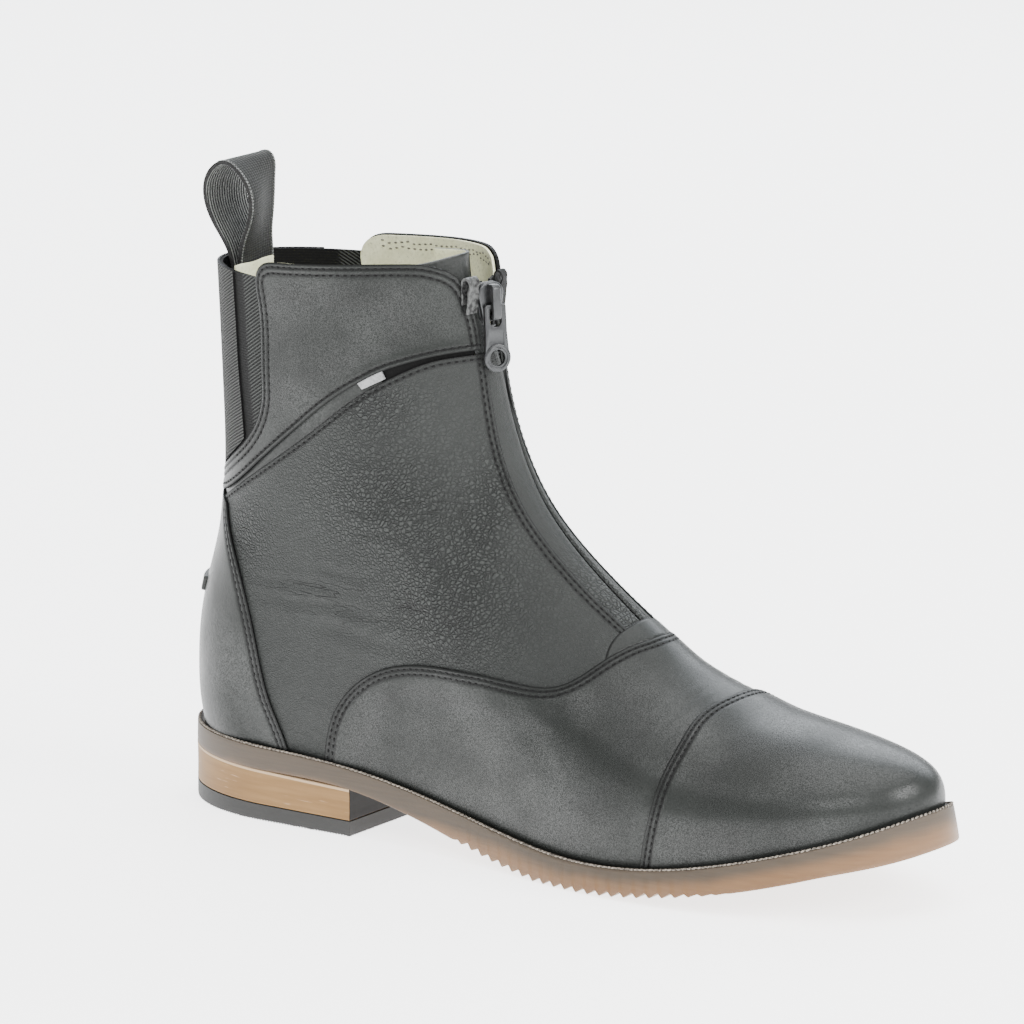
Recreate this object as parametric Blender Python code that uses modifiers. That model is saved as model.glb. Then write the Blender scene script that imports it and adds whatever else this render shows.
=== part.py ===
"""Front-zip riding boot for the right foot.

The toe points along +X, the inner side of the foot along +Y, and the boot stands on z = 0, with the
origin under the middle of the heel. The tables count x from the back of the sole.
Sizes and tables are in millimetres, and MM turns them into metres when a mesh is made.
"""
import math

import bmesh
import bpy
import numpy as np
from mathutils import Matrix, Vector

MM = 0.001
ORIGIN_X = 40.0               # the origin is under the middle of the heel, this far from its back
OUTER, INNER = -1, 1          # outer and inner side of the foot, the sign of y
GAP = 0.3                     # clearance between pieces that touch

# Leather, webbing and zip
WALL = 2.2                    # leather and lining of the upper
SLOT_HALF = 3.0               # half of the slot for the zip
ELASTIC_THICK, ELASTIC_DEPTH = 1.3, 0.5   # its outside lies this deep under the upper's
ELASTIC_SPARE = 6.0           # extra width of the elastic before its edge is cut
WEBBING_WIDTH = 25.0
WEBBING_THICK = 1.3
STRAP_THICK, STRAP_DEPTH = 1.0, -1.1      # the strap lies on the elastic, proud of the upper
STRAP_MARGIN = 3.0            # least elastic that shows beside the strap and under its end
STRAP_TIP_HALF = 1.0          # half width where the strap ends over the counter
TAPE_HALF, TAPE_THICK = 9.0, 0.9
TEETH_HALF, TEETH_THICK = 2.0, 1.6
GUARD_HALF, GUARD_THICK = 15.0, 1.3

# Last
TOE_ROUND = 75.0              # length over which the toe closes to its tip
CROWN_SHARE = 0.74            # share of the height that the rounded top of the foot takes
CROWN_MAX = 58.0
CROWN_PEAK = 0.12             # how much sharper the instep is than an ellipse
PLAN_FADE = (50.0, 75.0)      # the plan's curve fades out over these heights, start and length
VAMP_X, INSTEP_X = 225.0, 175.0
COLLAR_CUT_Z = 215.0          # over the collar, for cutters
RIDGE_STEP = 0.002            # share of the ridge over which its slope is taken
FRONT_REACH, BACK_REACH = 30.0, 45.0      # how far from ridge and back line a point is looked for
SLOT_TURN = 0.4               # the slot's edge lies before this share of a row
ZIP_FOOT_Z, ZIP_TOP_Z = 79.0, 187.0
ELASTIC_TOP_Z = 184.0
BOOT_HALF = 60.0              # more than half the boot's width, for cutters

# Sole and heel
BREAST_X = 80.0               # front of the heel
HEEL_BACK_X = 3.5             # back of the upper on its feather line
HEEL_ROUND = 30.0             # length over which the upper's heel rounds off
SOLE_HEEL_ROUND = 45.0        # the same for the wider sole
BALL_X = 160.0                # the forefoot is flat on the floor from here to SPRING_X
SPRING_X = 177.0
TOE_SPRING, SPRING_POWER = 23.7, 1.7
SPRING_LENGTH = 112.0
WELT_THICK = 2.6
INSOLE_THICK = 3.0
INSOLE_INSET = 4.2
LIFT_THICK = (6.0, 5.4)       # at the back and at the breast
STACK_TOP = (18.3, 15.7)

# Mesh density
ROWS = (7, 13, 4, 13, 11)     # in the toe, the vamp, the instep, the heel and the shaft
TOE_SHARE, BREAST_SHARE, HEEL_SHARE = 0.088, 0.555, 0.74  # where they end along the ridge
HALF_COLUMNS = 14
CLOSED_X, CLOSED_RUN = 60.0, 50.0         # rows that end behind here bunch up at the back too
SOLE_STATIONS = 44
HEEL_STATIONS = 18
NOTCH_STEPS, COLLAR_STEPS = 26, 30
GUSSET_ROWS, GUSSET_HALF_COLUMNS = 18, 9
STRAP_ROWS, STRAP_COLUMNS, STRAP_BUNCH = 12, 17, 1.6   # rows bunch up at the narrow end
SPUR_ROWS, SPUR_COLUMNS = 4, 9
TAPE_ROWS, TAPE_COLUMNS = 26, 7
TEETH_ROWS, TEETH_COLUMNS = 24, 3
GUARD_ROWS, GUARD_COLUMNS = 24, 9
LOOP_STATIONS = 44


def table(columns, *rows):
    """A short table: the first column names the row, the others become arrays."""
    names = columns.split()
    return {name: np.array([row[i + 1] for row in rows]) for i, name in enumerate(names)}


# Line up the middle of the toe, the vamp, the zip and the front of the shaft
RIDGE = table("x z",
              ("tip", 281.8, 30.8), ("toe front", 282.0, 36.0), ("toe brow", 279.0, 42.6),
              ("toe top", 270.5, 47.2), ("cap", 256.0, 50.6), ("cap back", 238.0, 53.6),
              ("cap seam", 219.0, 57.0), ("vamp", 203.0, 62.2), ("vamp top", 188.0, 69.8),
              ("zip foot", 173.6, 80.6), ("instep", 159.4, 91.9), ("instep top", 146.2, 103.2),
              ("bend", 135.2, 115.0), ("ankle", 127.0, 128.5), ("shin", 121.4, 143.0),
              ("shaft", 117.8, 159.0), ("collar low", 115.8, 175.0), ("collar", 115.0, 190.0),
              ("over collar", 114.8, 197.0))
# Line up the middle of the heel and the back of the shaft
BACK = table("z x",
             ("feather", 24.0, 3.8), ("seat", 34.0, 2.4), ("heel", 48.0, 2.0), ("counter", 62.0, 2.8),
             ("counter top", 76.0, 5.4), ("tendon low", 90.0, 9.0), ("tendon", 104.0, 11.2),
             ("ankle", 118.0, 11.8), ("shaft low", 140.0, 11.0), ("shaft", 168.0, 9.6),
             ("collar", 197.0, 8.0))
# Line where the upper meets the welt
FEATHER = table("x z",
                ("heel", 0.0, 26.5), ("seat", 40.0, 25.0), ("breast", 80.0, 22.4), ("shank", 108.0, 18.2),
                ("waist", 140.0, 13.0), ("ball", 172.0, 10.0), ("tread", 200.0, 11.0),
                ("toe break", 225.0, 14.6), ("toe", 250.0, 20.4), ("toe end", 270.0, 26.4),
                ("tip", 292.0, 34.2))
# Plan of the foot: half widths to each side of a middle line that swings inwards
PLAN = table("x outer inner middle",
             ("heel", 0.0, 28.5, 27.0, 0.0), ("seat", 60.0, 28.8, 26.5, 0.0),
             ("waist", 105.0, 29.0, 24.0, 0.2), ("shank", 140.0, 34.0, 28.0, 0.9),
             ("ball", 178.0, 41.6, 35.0, 3.0), ("joint", 215.0, 42.8, 37.0, 5.6),
             ("toe", 250.0, 42.0, 36.0, 7.8), ("tip", 292.0, 42.0, 35.5, 8.9))
# Half width added with the height over the feather line, and how far the back rounds
SWELL = table("rise added back_round",
              ("feather", 0.0, 0.0, 30.0), ("lasted edge", 12.0, 1.6, 30.0), ("wall", 26.0, 2.4, 31.0),
              ("heel top", 50.0, 2.6, 34.0), ("ankle", 80.0, 2.8, 42.0), ("shaft", 120.0, 3.6, 50.0),
              ("collar", 170.0, 4.6, 54.0))
# Rows of the upper's mesh: share along the ridge, and the place where the row ends below or behind
FAN = table("share end_x end_rise",
            ("tip", 0.0, 281.9, 0.0), ("toe", 0.02, 280.5, 0.0), ("toe side", 0.06, 274.0, 0.0),
            ("cap", 0.195, 240.0, 0.0), ("ball", 0.35, 190.0, 0.0), ("waist", 0.46, 130.0, 0.0),
            ("breast", 0.555, 80.0, 0.0), ("seat", 0.605, 52.0, 0.0), ("heel", 0.645, 32.0, 0.0),
            ("heel side", 0.68, 16.0, 0.0), ("heel round", 0.71, 7.5, 0.0), ("heel back", 0.74, 3.5, 0.0),
            ("counter", 0.78, 3.5, 32.0), ("collar", 1.0, 3.5, 170.5))
# Front edge of the notch for the elastic
NOTCH = table("z x",
              ("tip", 112.0, 13.0), ("low", 118.2, 21.9), ("sweep", 125.0, 31.6),
              ("corner", 134.0, 40.4), ("side low", 143.0, 44.1), ("side", 152.0, 44.3),
              ("side top", 177.0, 43.1), ("top", 197.0, 43.0))
# Edge of the wide strap up the back; under the bend it runs beside the notch
STRAP_EDGE = table("z x",
                   ("foot", 112.0, 35.6), ("bend", 135.0, 33.6), ("middle", 151.0, 31.6),
                   ("high", 168.0, 30.4), ("top", 184.0, 29.2))
# Top edge of the upper, from the notch round its front corner and down beside the slider
COLLAR = table("x z",
               ("notch", 42.2, 184.0), ("notch corner", 43.6, 187.4), ("back corner", 46.6, 189.6),
               ("back", 53.0, 190.7), ("middle", 74.0, 192.2), ("front", 95.7, 193.5),
               ("corner start", 103.0, 193.0), ("corner", 108.6, 190.6), ("corner end", 111.6, 186.0),
               ("zip top", 113.4, 178.0), ("zip", 115.2, 168.0), ("slot", 117.4, 159.0))
# Bottom of the sole from the heel seat through the arch to the ball
ARCH = table("x z",
             ("back", 0.0, 18.6), ("seat", 40.0, 17.4), ("breast", 80.0, 16.0), ("shank", 100.0, 12.2),
             ("arch", 120.0, 7.4), ("arch low", 140.0, 2.8), ("ball", 160.0, 0.0))
# How far the sole stands out from the feather line, at its top edge and at its flared bottom edge
LEDGE = table("x top bottom",
              ("heel", 0.0, 2.4, 3.4), ("breast", 80.0, 2.4, 3.2), ("waist", 120.0, 2.4, 3.4),
              ("ball", 180.0, 3.0, 5.0), ("toe", 250.0, 3.2, 5.4), ("tip", 292.0, 3.6, 6.6))
# Path of the pull loop's webbing, seen from the side, from one sewn end to the other
LOOP = table("x z",
             ("inner end", 20.2, 172.0), ("inner tail", 20.2, 181.0), ("front low", 21.2, 190.0),
             ("front", 24.0, 198.0), ("front high", 24.6, 206.0), ("front top", 20.8, 213.6),
             ("top", 14.4, 217.2), ("back top", 8.8, 213.4), ("back", 7.2, 205.6), ("back low", 10.8, 196.4),
             ("pinch", 15.8, 188.6), ("outer tail", 18.1, 181.0), ("outer end", 18.1, 172.0))
LOOP_YAW = math.radians(6)

# Zip slider and pull tab, in the slider's own frame: across, up along the zip, out of it
SLIDER_RIDGE_Z = 180.0
SLIDER_WIDTH, SLIDER_LENGTH = 9.6, 13.0
SLIDER_FACE = (-0.6, 2.0)     # lower and upper face of the slider's body, from the upper's outside
TEETH_HIDDEN = 9.0            # length of the teeth under the slider
BRIDGE_WIDTH, BRIDGE_LENGTH, BRIDGE_LEG = 3.0, 12.0, 1.8
BRIDGE_FACE = (3.9, 5.5)
BRIDGE_FOOT = 0.6             # how deep its legs stand in the body
TAB_THICK = 1.3
TAB_TOP_WIDTH, TAB_END_RADIUS = 7.6, 4.7
TAB_LENGTH = 18.0             # from the crossbar to the middle of the round end
TAB_BAR, TAB_BAR_UP = 1.3, -1.3           # thickness of the crossbar, its place along the bridge
TAB_WINDOW = (4.2, 6.2)       # width and length of the window round the bridge
TAB_HOLE_RADIUS = 2.7
TAB_ARC = (-205, 25)          # the round end, in degrees
TAB_ARC_STEPS = 14

SPUR_Z, SPUR_HEIGHT, SPUR_HALF, SPUR_THICK = 74.0, 5.0, 9.0, 2.0


def spline(knots, values, at):
    """Natural cubic spline through a short table, held level beyond its ends."""
    count, step = len(knots), np.diff(knots)
    matrix, right = np.eye(count), np.zeros(count)
    for i in range(1, count - 1):
        matrix[i, i - 1:i + 2] = step[i - 1], 2 * (step[i - 1] + step[i]), step[i]
        right[i] = 6 * ((values[i + 1] - values[i]) / step[i] - (values[i] - values[i - 1]) / step[i - 1])
    bend = np.linalg.solve(matrix, right)
    at = np.clip(at, knots[0], knots[-1])
    i = np.clip(np.searchsorted(knots, at, side="right") - 1, 0, count - 2)
    low, high, width = at - knots[i], knots[i + 1] - at, step[i]
    curved = (bend[i] * high ** 3 + bend[i + 1] * low ** 3) / (6 * width)
    return (curved + (values[i] / width - bend[i] * width / 6) * high
            + (values[i + 1] / width - bend[i + 1] * width / 6) * low)


def soft_step(t):
    t = np.clip(t, 0, 1)
    return t * t * (3 - 2 * t)


def quarter_round(t, power=1.0):
    """Rises from 0 to 1 as an ellipse does from its end to its middle."""
    t = np.clip(t, 0, 1)
    return (1 - (1 - t) ** 2) ** (0.5 * power)


# Dense copy of the ridge, read by height, by length and by share of its run
RIDGE_RUN = np.concatenate([[0.0], np.cumsum(np.hypot(np.diff(RIDGE["x"]), np.diff(RIDGE["z"])))])
RUN = np.linspace(0, RIDGE_RUN[-1], 1200)
RIDGE_X = spline(RIDGE_RUN, RIDGE["x"], RUN)
RIDGE_Z = spline(RIDGE_RUN, RIDGE["z"], RUN)
TIP = int(np.argmax(RIDGE_X))
TIP_X = float(RIDGE_X[TIP])


def ridge_point(share):
    return np.interp(share * RUN[-1], RUN, RIDGE_X), np.interp(share * RUN[-1], RUN, RIDGE_Z)


def ridge_share(z):
    return np.interp(z, RIDGE_Z, RUN / RUN[-1])


def ridge_normal(share):
    """Unit normal of the ridge in the side view, pointing out of the boot."""
    ahead, behind = ridge_point(min(share + RIDGE_STEP, 1.0)), ridge_point(max(share - RIDGE_STEP, 0.0))
    along = np.subtract(ahead, behind)
    along /= np.hypot(*along)
    return along[1], -along[0]


def feather(x):
    return spline(FEATHER["x"], FEATHER["z"], x)


def back_line(z):
    return spline(BACK["z"], BACK["x"], z)


def middle(x):
    return spline(PLAN["x"], PLAN["middle"], x)


def plan_half(x, side):
    return spline(PLAN["x"], PLAN["outer" if side == OUTER else "inner"], x)


def half_width(x, z, side):
    """Half width of the upper at a point of its side view."""
    x, z = np.asarray(x, float), np.asarray(z, float)
    low, high = feather(x), np.interp(x, RIDGE_X[TIP:][::-1], RIDGE_Z[TIP:][::-1])
    rise = np.clip(z - low, 0, SWELL["rise"][-1])
    heel_half = plan_half(0.0, side)
    swing = 1 - soft_step((z - PLAN_FADE[0]) / PLAN_FADE[1])
    body = heel_half + (plan_half(x, side) - heel_half) * swing + spline(SWELL["rise"], SWELL["added"], rise)
    toe = quarter_round((TIP_X - x) / TOE_ROUND)
    heel = quarter_round((x - back_line(z)) / spline(SWELL["rise"], SWELL["back_round"], rise))
    under_ridge = x > RIDGE_X[-1]
    below = np.where(under_ridge, np.maximum(high - z, 1e-9), 1e6)
    behind = np.maximum(np.interp(z, RIDGE_Z, RIDGE_X) - x, 1e-9)
    instep = 1 - soft_step((x - INSTEP_X) / (VAMP_X - INSTEP_X))
    depth = 1 / np.sqrt(1 / below ** 2 + instep / behind ** 2)
    crown = np.where(under_ridge, np.minimum(CROWN_SHARE * np.maximum(high - low, 1), CROWN_MAX), CROWN_MAX)
    return body * toe * heel * quarter_round(depth / crown, 1 + CROWN_PEAK * instep)


def skin(x, z, side):
    """Point of the upper's outside, from its place in the side view."""
    return float(x), float(middle(x) + side * half_width(x, z, side)), float(z)


def solve(rising, low, high):
    for _ in range(40):
        mid = 0.5 * (low + high)
        low, high = (mid, high) if rising(mid) < 0 else (low, mid)
    return 0.5 * (low + high)


def on_front(share, y):
    """Point of the outside at a distance y to one side of the ridge."""
    side = INNER if y > 0 else OUTER
    x, z = ridge_point(share)
    nx, nz = ridge_normal(share)
    depth = solve(lambda d: half_width(x - nx * d, z - nz * d, side) - abs(y), 0.0, FRONT_REACH) if y else 0.0
    return skin(x - nx * depth, z - nz * depth, side)


def on_back(z, y):
    """Point of the outside at a distance y to one side of the back line."""
    side = INNER if y > 0 else OUTER
    start = float(back_line(z))
    x = solve(lambda at: half_width(at, z, side) - abs(y), start, start + BACK_REACH) if y else start
    return skin(x, z, side)


def sole_half(x, out, side, heel_round):
    """Half width of an outline that stands out from the feather line."""
    toe = quarter_round((TIP_X + out - x) / TOE_ROUND)
    heel = quarter_round((x - HEEL_BACK_X + out) / heel_round)
    return (plan_half(x, side) + out) * toe * heel


def sole_bottom(x):
    spring = TOE_SPRING * (max(x - SPRING_X, 0.0) / SPRING_LENGTH) ** SPRING_POWER
    arch = max(float(spline(ARCH["x"], ARCH["z"], x)), 0.0) if x < BALL_X else 0.0
    return arch + spring


def make_material(name, colour, roughness, metallic=0.0):
    material = bpy.data.materials.new(name)
    material.use_nodes = True
    shader = material.node_tree.nodes["Principled BSDF"]
    shader.inputs["Base Color"].default_value = (*colour, 1.0)
    shader.inputs["Roughness"].default_value = roughness
    shader.inputs["Metallic"].default_value = metallic
    return material


def new_object(name, bm, material, collection, matrix=None):
    """Object from a bmesh in millimetres, in the tables' frame or in a frame of its own."""
    if matrix is None:
        bmesh.ops.translate(bm, vec=(-ORIGIN_X, 0, 0), verts=bm.verts)
    bmesh.ops.scale(bm, vec=(MM, MM, MM), verts=bm.verts)
    mesh = bpy.data.meshes.new(name)
    bm.to_mesh(mesh)
    bm.free()
    mesh.shade_smooth()
    mesh.set_sharp_from_angle(angle=math.radians(40))
    if material:
        mesh.materials.append(material)
    piece = bpy.data.objects.new(name, mesh)
    if matrix is not None:
        piece.matrix_world = matrix
    collection.objects.link(piece)
    return piece


def grid(rows, skip=lambda i, j: False):
    """Open surface through rows of points, lying with its outside up."""
    bm = bmesh.new()
    verts = [[bm.verts.new(point) for point in row] for row in rows]
    for i in range(len(rows) - 1):
        for j in range(len(rows[0]) - 1):
            if not skip(i, j):
                bm.faces.new((verts[i][j], verts[i][j + 1], verts[i + 1][j + 1], verts[i + 1][j]))
    bmesh.ops.remove_doubles(bm, verts=bm.verts, dist=0.001)
    bmesh.ops.delete(bm, geom=[v for v in bm.verts if not v.link_faces], context="VERTS")
    return bm


def shell(name, bm, depth, thick, material, collection):
    """Wall of an even thickness that starts at a depth under the given outside."""
    bm.normal_update()
    sunk = [(v, v.co - v.normal * depth) for v in bm.verts]
    for v, place in sunk:
        v.co = place
    piece = new_object(name, bm, material, collection)
    wall = piece.modifiers.new("wall", "SOLIDIFY")
    wall.thickness = thick * MM
    wall.offset = -1.0
    wall.use_even_offset = True
    return piece


def prism(name, outline, half, collection):
    """Cutter: an outline of the side view, pushed through the boot."""
    bm = bmesh.new()
    face = bm.faces.new([bm.verts.new((x, -half, z)) for x, z in outline])
    pushed = bmesh.ops.extrude_face_region(bm, geom=[face])["geom"]
    moved = [v for v in pushed if isinstance(v, bmesh.types.BMVert)]
    bmesh.ops.translate(bm, vec=(0, 2 * half, 0), verts=moved)
    bmesh.ops.recalc_face_normals(bm, faces=bm.faces)
    cutter = new_object(name, bm, None, collection)
    cutter.hide_render = True
    cutter.display_type = "WIRE"
    return cutter


def upper_row(share):
    """One row of the upper from its outer end over the ridge to its inner end."""
    ridge_x, ridge_z = ridge_point(share)
    end_x = np.interp(share, FAN["share"], FAN["end_x"])
    rise = np.interp(share, FAN["share"], FAN["end_rise"])
    end_z = feather(end_x) + rise
    if rise > 0:
        end_x = back_line(end_z)
    closed = soft_step((CLOSED_X - end_x) / CLOSED_RUN)

    def place(turn):
        open_share = 1 - np.cos(turn * np.pi / 2)
        ring_share = (1 - np.cos(turn * np.pi)) / 2
        t = open_share + (ring_share - open_share) * closed
        return ridge_x + (end_x - ridge_x) * t, ridge_z + (end_z - ridge_z) * t

    halves = []
    for side in (OUTER, INNER):
        first = 1 / HALF_COLUMNS
        if ridge_z >= ZIP_FOOT_Z:
            first = solve(lambda turn: half_width(*place(turn), side) - SLOT_HALF, 0.0, SLOT_TURN)
        turns = first + (1 - first) * np.arange(HALF_COLUMNS) / (HALF_COLUMNS - 1)
        halves.append([skin(*place(turn), side) for turn in turns])
    return halves[0][::-1] + [skin(ridge_x, ridge_z, INNER)] + halves[1]


def make_upper(material, collection, cutters):
    zip_share = float(ridge_share(ZIP_FOOT_Z)) + 1e-6
    stops = [0.0, TOE_SHARE, zip_share, BREAST_SHARE, HEEL_SHARE, 1.0]
    parts = [np.linspace(a, b, n, endpoint=False) for a, b, n in zip(stops, stops[1:], ROWS)]
    shares = np.concatenate(parts + [[1.0]])
    first_zip_row = ROWS[0] + ROWS[1]
    middle_columns = (HALF_COLUMNS - 1, HALF_COLUMNS)
    bm = grid([upper_row(s) for s in shares],
              skip=lambda i, j: i >= first_zip_row and j in middle_columns)
    upper = shell("upper", bm, 0.0, WALL, material, collection)
    trim(upper, "DIFFERENCE", prism("notch_cutter", notch_outline(0.0), BOOT_HALF, cutters))
    trim(upper, "DIFFERENCE", prism("collar_cutter", collar_outline(), BOOT_HALF, cutters))


def along_table(rows, count):
    """Smooth curve through a table's x and z, with evenly spaced points."""
    run = np.concatenate([[0.0], np.cumsum(np.hypot(np.diff(rows["x"]), np.diff(rows["z"])))])
    at = np.linspace(0, run[-1], count)
    return spline(run, rows["x"], at), spline(run, rows["z"], at)


def collar_outline():
    """Side view of what is cut away over the collar and in front of it."""
    edge = [(float(x), float(z)) for x, z in zip(*along_table(COLLAR, COLLAR_STEPS))]
    front_x = edge[-1][0] + BOOT_HALF
    return edge + [(front_x, edge[-1][1]), (front_x, COLLAR_CUT_Z), (0.0, COLLAR_CUT_Z), (0.0, edge[0][1])]


def notch_edge(z):
    return spline(NOTCH["z"], NOTCH["x"], z)


def notch_outline(inset):
    """Side view of the notch, its front edge drawn back by an inset."""
    low, high = NOTCH["z"][0] + inset, COLLAR_CUT_Z
    edge = [(float(notch_edge(z)) - inset, float(z)) for z in np.linspace(low, high, NOTCH_STEPS)]
    return [(-BOOT_HALF, high), (-BOOT_HALF, low)] + edge


def trim(piece, operation, cutter):
    cut = piece.modifiers.new("trim", "BOOLEAN")
    cut.operation = operation
    cut.object = cutter


def make_gusset(material, collection, cutters):
    """Elastic cut from a wider wall, so that its edge runs beside the notch."""
    rows = []
    for z in np.linspace(NOTCH["z"][0], ELASTIC_TOP_Z, GUSSET_ROWS):
        back_x = float(back_line(z))
        turns = np.linspace(0, 1, GUSSET_HALF_COLUMNS)
        reach = notch_edge(z) + ELASTIC_SPARE - back_x
        places = back_x + reach * (1 - np.cos(turns * np.pi / 2))
        rows.append([skin(x, z, OUTER) for x in places[::-1]] + [skin(x, z, INNER) for x in places[1:]])
    bm = face_out(grid(rows))
    gusset = shell("elastic_gusset", bm, ELASTIC_DEPTH, ELASTIC_THICK, material, collection)
    trim(gusset, "INTERSECT", prism("gusset_cutter", notch_outline(2 * GAP), BOOT_HALF, cutters))


def face_out(bm):
    """Turns an open patch so that its faces look away from the middle of the boot."""
    bm.normal_update()
    centre = Vector((BREAST_X, 0.0, 0.0))
    facing = 0.0
    for face in bm.faces:
        away = face.calc_center_median() - centre
        away.z = 0.0
        facing += face.normal.dot(away)
    if facing < 0:
        bmesh.ops.reverse_faces(bm, faces=bm.faces)
    return bm


def make_back_patch(name, heights, half_at, columns, depth, thick, material, collection):
    """Strip up the middle of the back, its half width given by the height and the side."""
    rows = [[on_back(z, half_at(z, INNER if across > 0 else OUTER) * across)
             for across in np.linspace(-1, 1, columns)] for z in heights]
    shell(name, face_out(grid(rows)), depth, thick, material, collection)


def make_front_strip(name, low_z, high_z, rows, half, columns, depth, thick, material, collection):
    """Strip along the zip, following the upper's outside at a depth."""
    shares = np.linspace(ridge_share(low_z), ridge_share(high_z), rows)
    points = [[on_front(s, half * across) for across in np.linspace(-1, 1, columns)] for s in shares]
    shell(name, grid(points), depth, thick, material, collection)


def make_plate(name, stations, top, bottom, material, collection):
    """Sole layer: top and bottom each give (x, outer y, inner y, z) for a share of the length."""
    bm = bmesh.new()
    rings = []
    for share in stations:
        top_x, top_outer, top_inner, top_z = top(share)
        low_x, low_outer, low_inner, low_z = bottom(share)
        ring = [(top_x, top_outer, top_z), (low_x, low_outer, low_z),
                (low_x, low_inner, low_z), (top_x, top_inner, top_z)]
        rings.append([bm.verts.new(point) for point in ring])
    for here, there in zip(rings, rings[1:]):
        for k in range(4):
            after = (k + 1) % 4
            bm.faces.new((here[k], here[after], there[after], there[k]))
    bm.faces.new(rings[0][::-1])
    bm.faces.new(rings[-1])
    bmesh.ops.remove_doubles(bm, verts=bm.verts, dist=0.001)
    bmesh.ops.dissolve_degenerate(bm, edges=bm.edges, dist=0.001)
    bmesh.ops.recalc_face_normals(bm, faces=bm.faces)
    return new_object(name, bm, material, collection)


def outline_edge(out_at, height_at, x_range, heel_round):
    """Edge of a sole layer as a function of the share of its length."""
    start, end = x_range

    def edge(share):
        x = start + (end - start) * share
        out = out_at(x)
        outer = middle(x) - sole_half(x, out, OUTER, heel_round)
        inner = middle(x) + sole_half(x, out, INNER, heel_round)
        return float(x), float(outer), float(inner), float(height_at(x))
    return edge


def ledge(column):
    return lambda x: float(spline(LEDGE["x"], LEDGE[column], x))


def sole_range(out_at):
    return HEEL_BACK_X - out_at(0.0), TIP_X + out_at(PLAN["x"][-1])


def slope(ends):
    return lambda x: ends[0] + (ends[1] - ends[0]) * x / BREAST_X


def make_sole(materials, collection):
    both_ends = (1 - np.cos(np.linspace(0, np.pi, SOLE_STATIONS))) / 2
    back_end = 1 - np.cos(np.linspace(0, np.pi / 2, HEEL_STATIONS))
    top_out, low_out = ledge("top"), ledge("bottom")

    def welt_top(x):
        return feather(x) - GAP

    def welt_low(x):
        return feather(x) - GAP - WELT_THICK

    def sole_top(x):
        return feather(x) - 2 * GAP - WELT_THICK

    def full(out_at, height_at):
        return outline_edge(out_at, height_at, sole_range(out_at), SOLE_HEEL_ROUND)

    make_plate("welt", both_ends, full(top_out, welt_top), full(top_out, welt_low),
               materials["welt"], collection)
    make_plate("outsole", both_ends, full(top_out, sole_top), full(low_out, sole_bottom),
               materials["gum"], collection)

    def heel(height_at):
        x_range = HEEL_BACK_X - low_out(0.0), BREAST_X
        return outline_edge(low_out, height_at, x_range, SOLE_HEEL_ROUND)

    lift_top, stack_top = slope(LIFT_THICK), slope(STACK_TOP)
    make_plate("heel_stack", back_end, heel(stack_top), heel(lambda x: lift_top(x) + GAP),
               materials["stack"], collection)
    make_plate("heel_top_lift", back_end, heel(lift_top), heel(lambda x: 0.0),
               materials["rubber"], collection)

    def inside(height_at):
        x_range = HEEL_BACK_X + INSOLE_INSET, TIP_X - INSOLE_INSET
        return outline_edge(lambda x: -INSOLE_INSET, height_at, x_range, HEEL_ROUND)

    make_plate("insole", both_ends, inside(lambda x: feather(x) + INSOLE_THICK), inside(feather),
               materials["lining"], collection)


def make_loop(material, collection):
    """Webbing strip of an even thickness along the loop's path."""
    x, z = along_table(LOOP, LOOP_STATIONS)
    along = np.stack([np.gradient(x), np.gradient(z)], 1)
    along /= np.linalg.norm(along, axis=1)[:, None]
    turn = Matrix.Rotation(LOOP_YAW, 4, "Z")
    pivot = Vector((LOOP["x"][0], 0.0, 0.0))
    bm = bmesh.new()
    rings = []
    for px, pz, (ax, az) in zip(x, z, along):
        ring = []
        for across, out in ((-1, -1), (1, -1), (1, 1), (-1, 1)):
            offset = 0.5 * WEBBING_THICK * out
            point = Vector((px + az * offset, 0.5 * WEBBING_WIDTH * across, pz - ax * offset))
            ring.append(bm.verts.new(turn @ (point - pivot) + pivot))
        rings.append(ring)
    for here, there in zip(rings, rings[1:]):
        for k in range(4):
            after = (k + 1) % 4
            bm.faces.new((here[k], here[after], there[after], there[k]))
    bm.faces.new(rings[0][::-1])
    bm.faces.new(rings[-1])
    bmesh.ops.recalc_face_normals(bm, faces=bm.faces)
    new_object("pull_loop", bm, material, collection)


def zip_frame():
    """Frame of the slider: its X runs across, its Y up along the zip, its Z out of the boot."""
    share = ridge_share(SLIDER_RIDGE_Z)
    x, z = ridge_point(share)
    nx, nz = ridge_normal(share)
    across, up, out = (0, 1, 0), (-nz, 0, nx), (nx, 0, nz)
    turn = Matrix((across, up, out)).transposed().to_4x4()
    return Matrix.Translation(Vector((x - ORIGIN_X, float(middle(x)), z)) * MM) @ turn


def add_box(bm, low, high):
    size = np.subtract(high, low)
    centre = np.add(high, low) / 2
    bmesh.ops.create_cube(bm, size=1.0, matrix=Matrix.Translation(centre) @ Matrix.Diagonal((*size, 1.0)))


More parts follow.
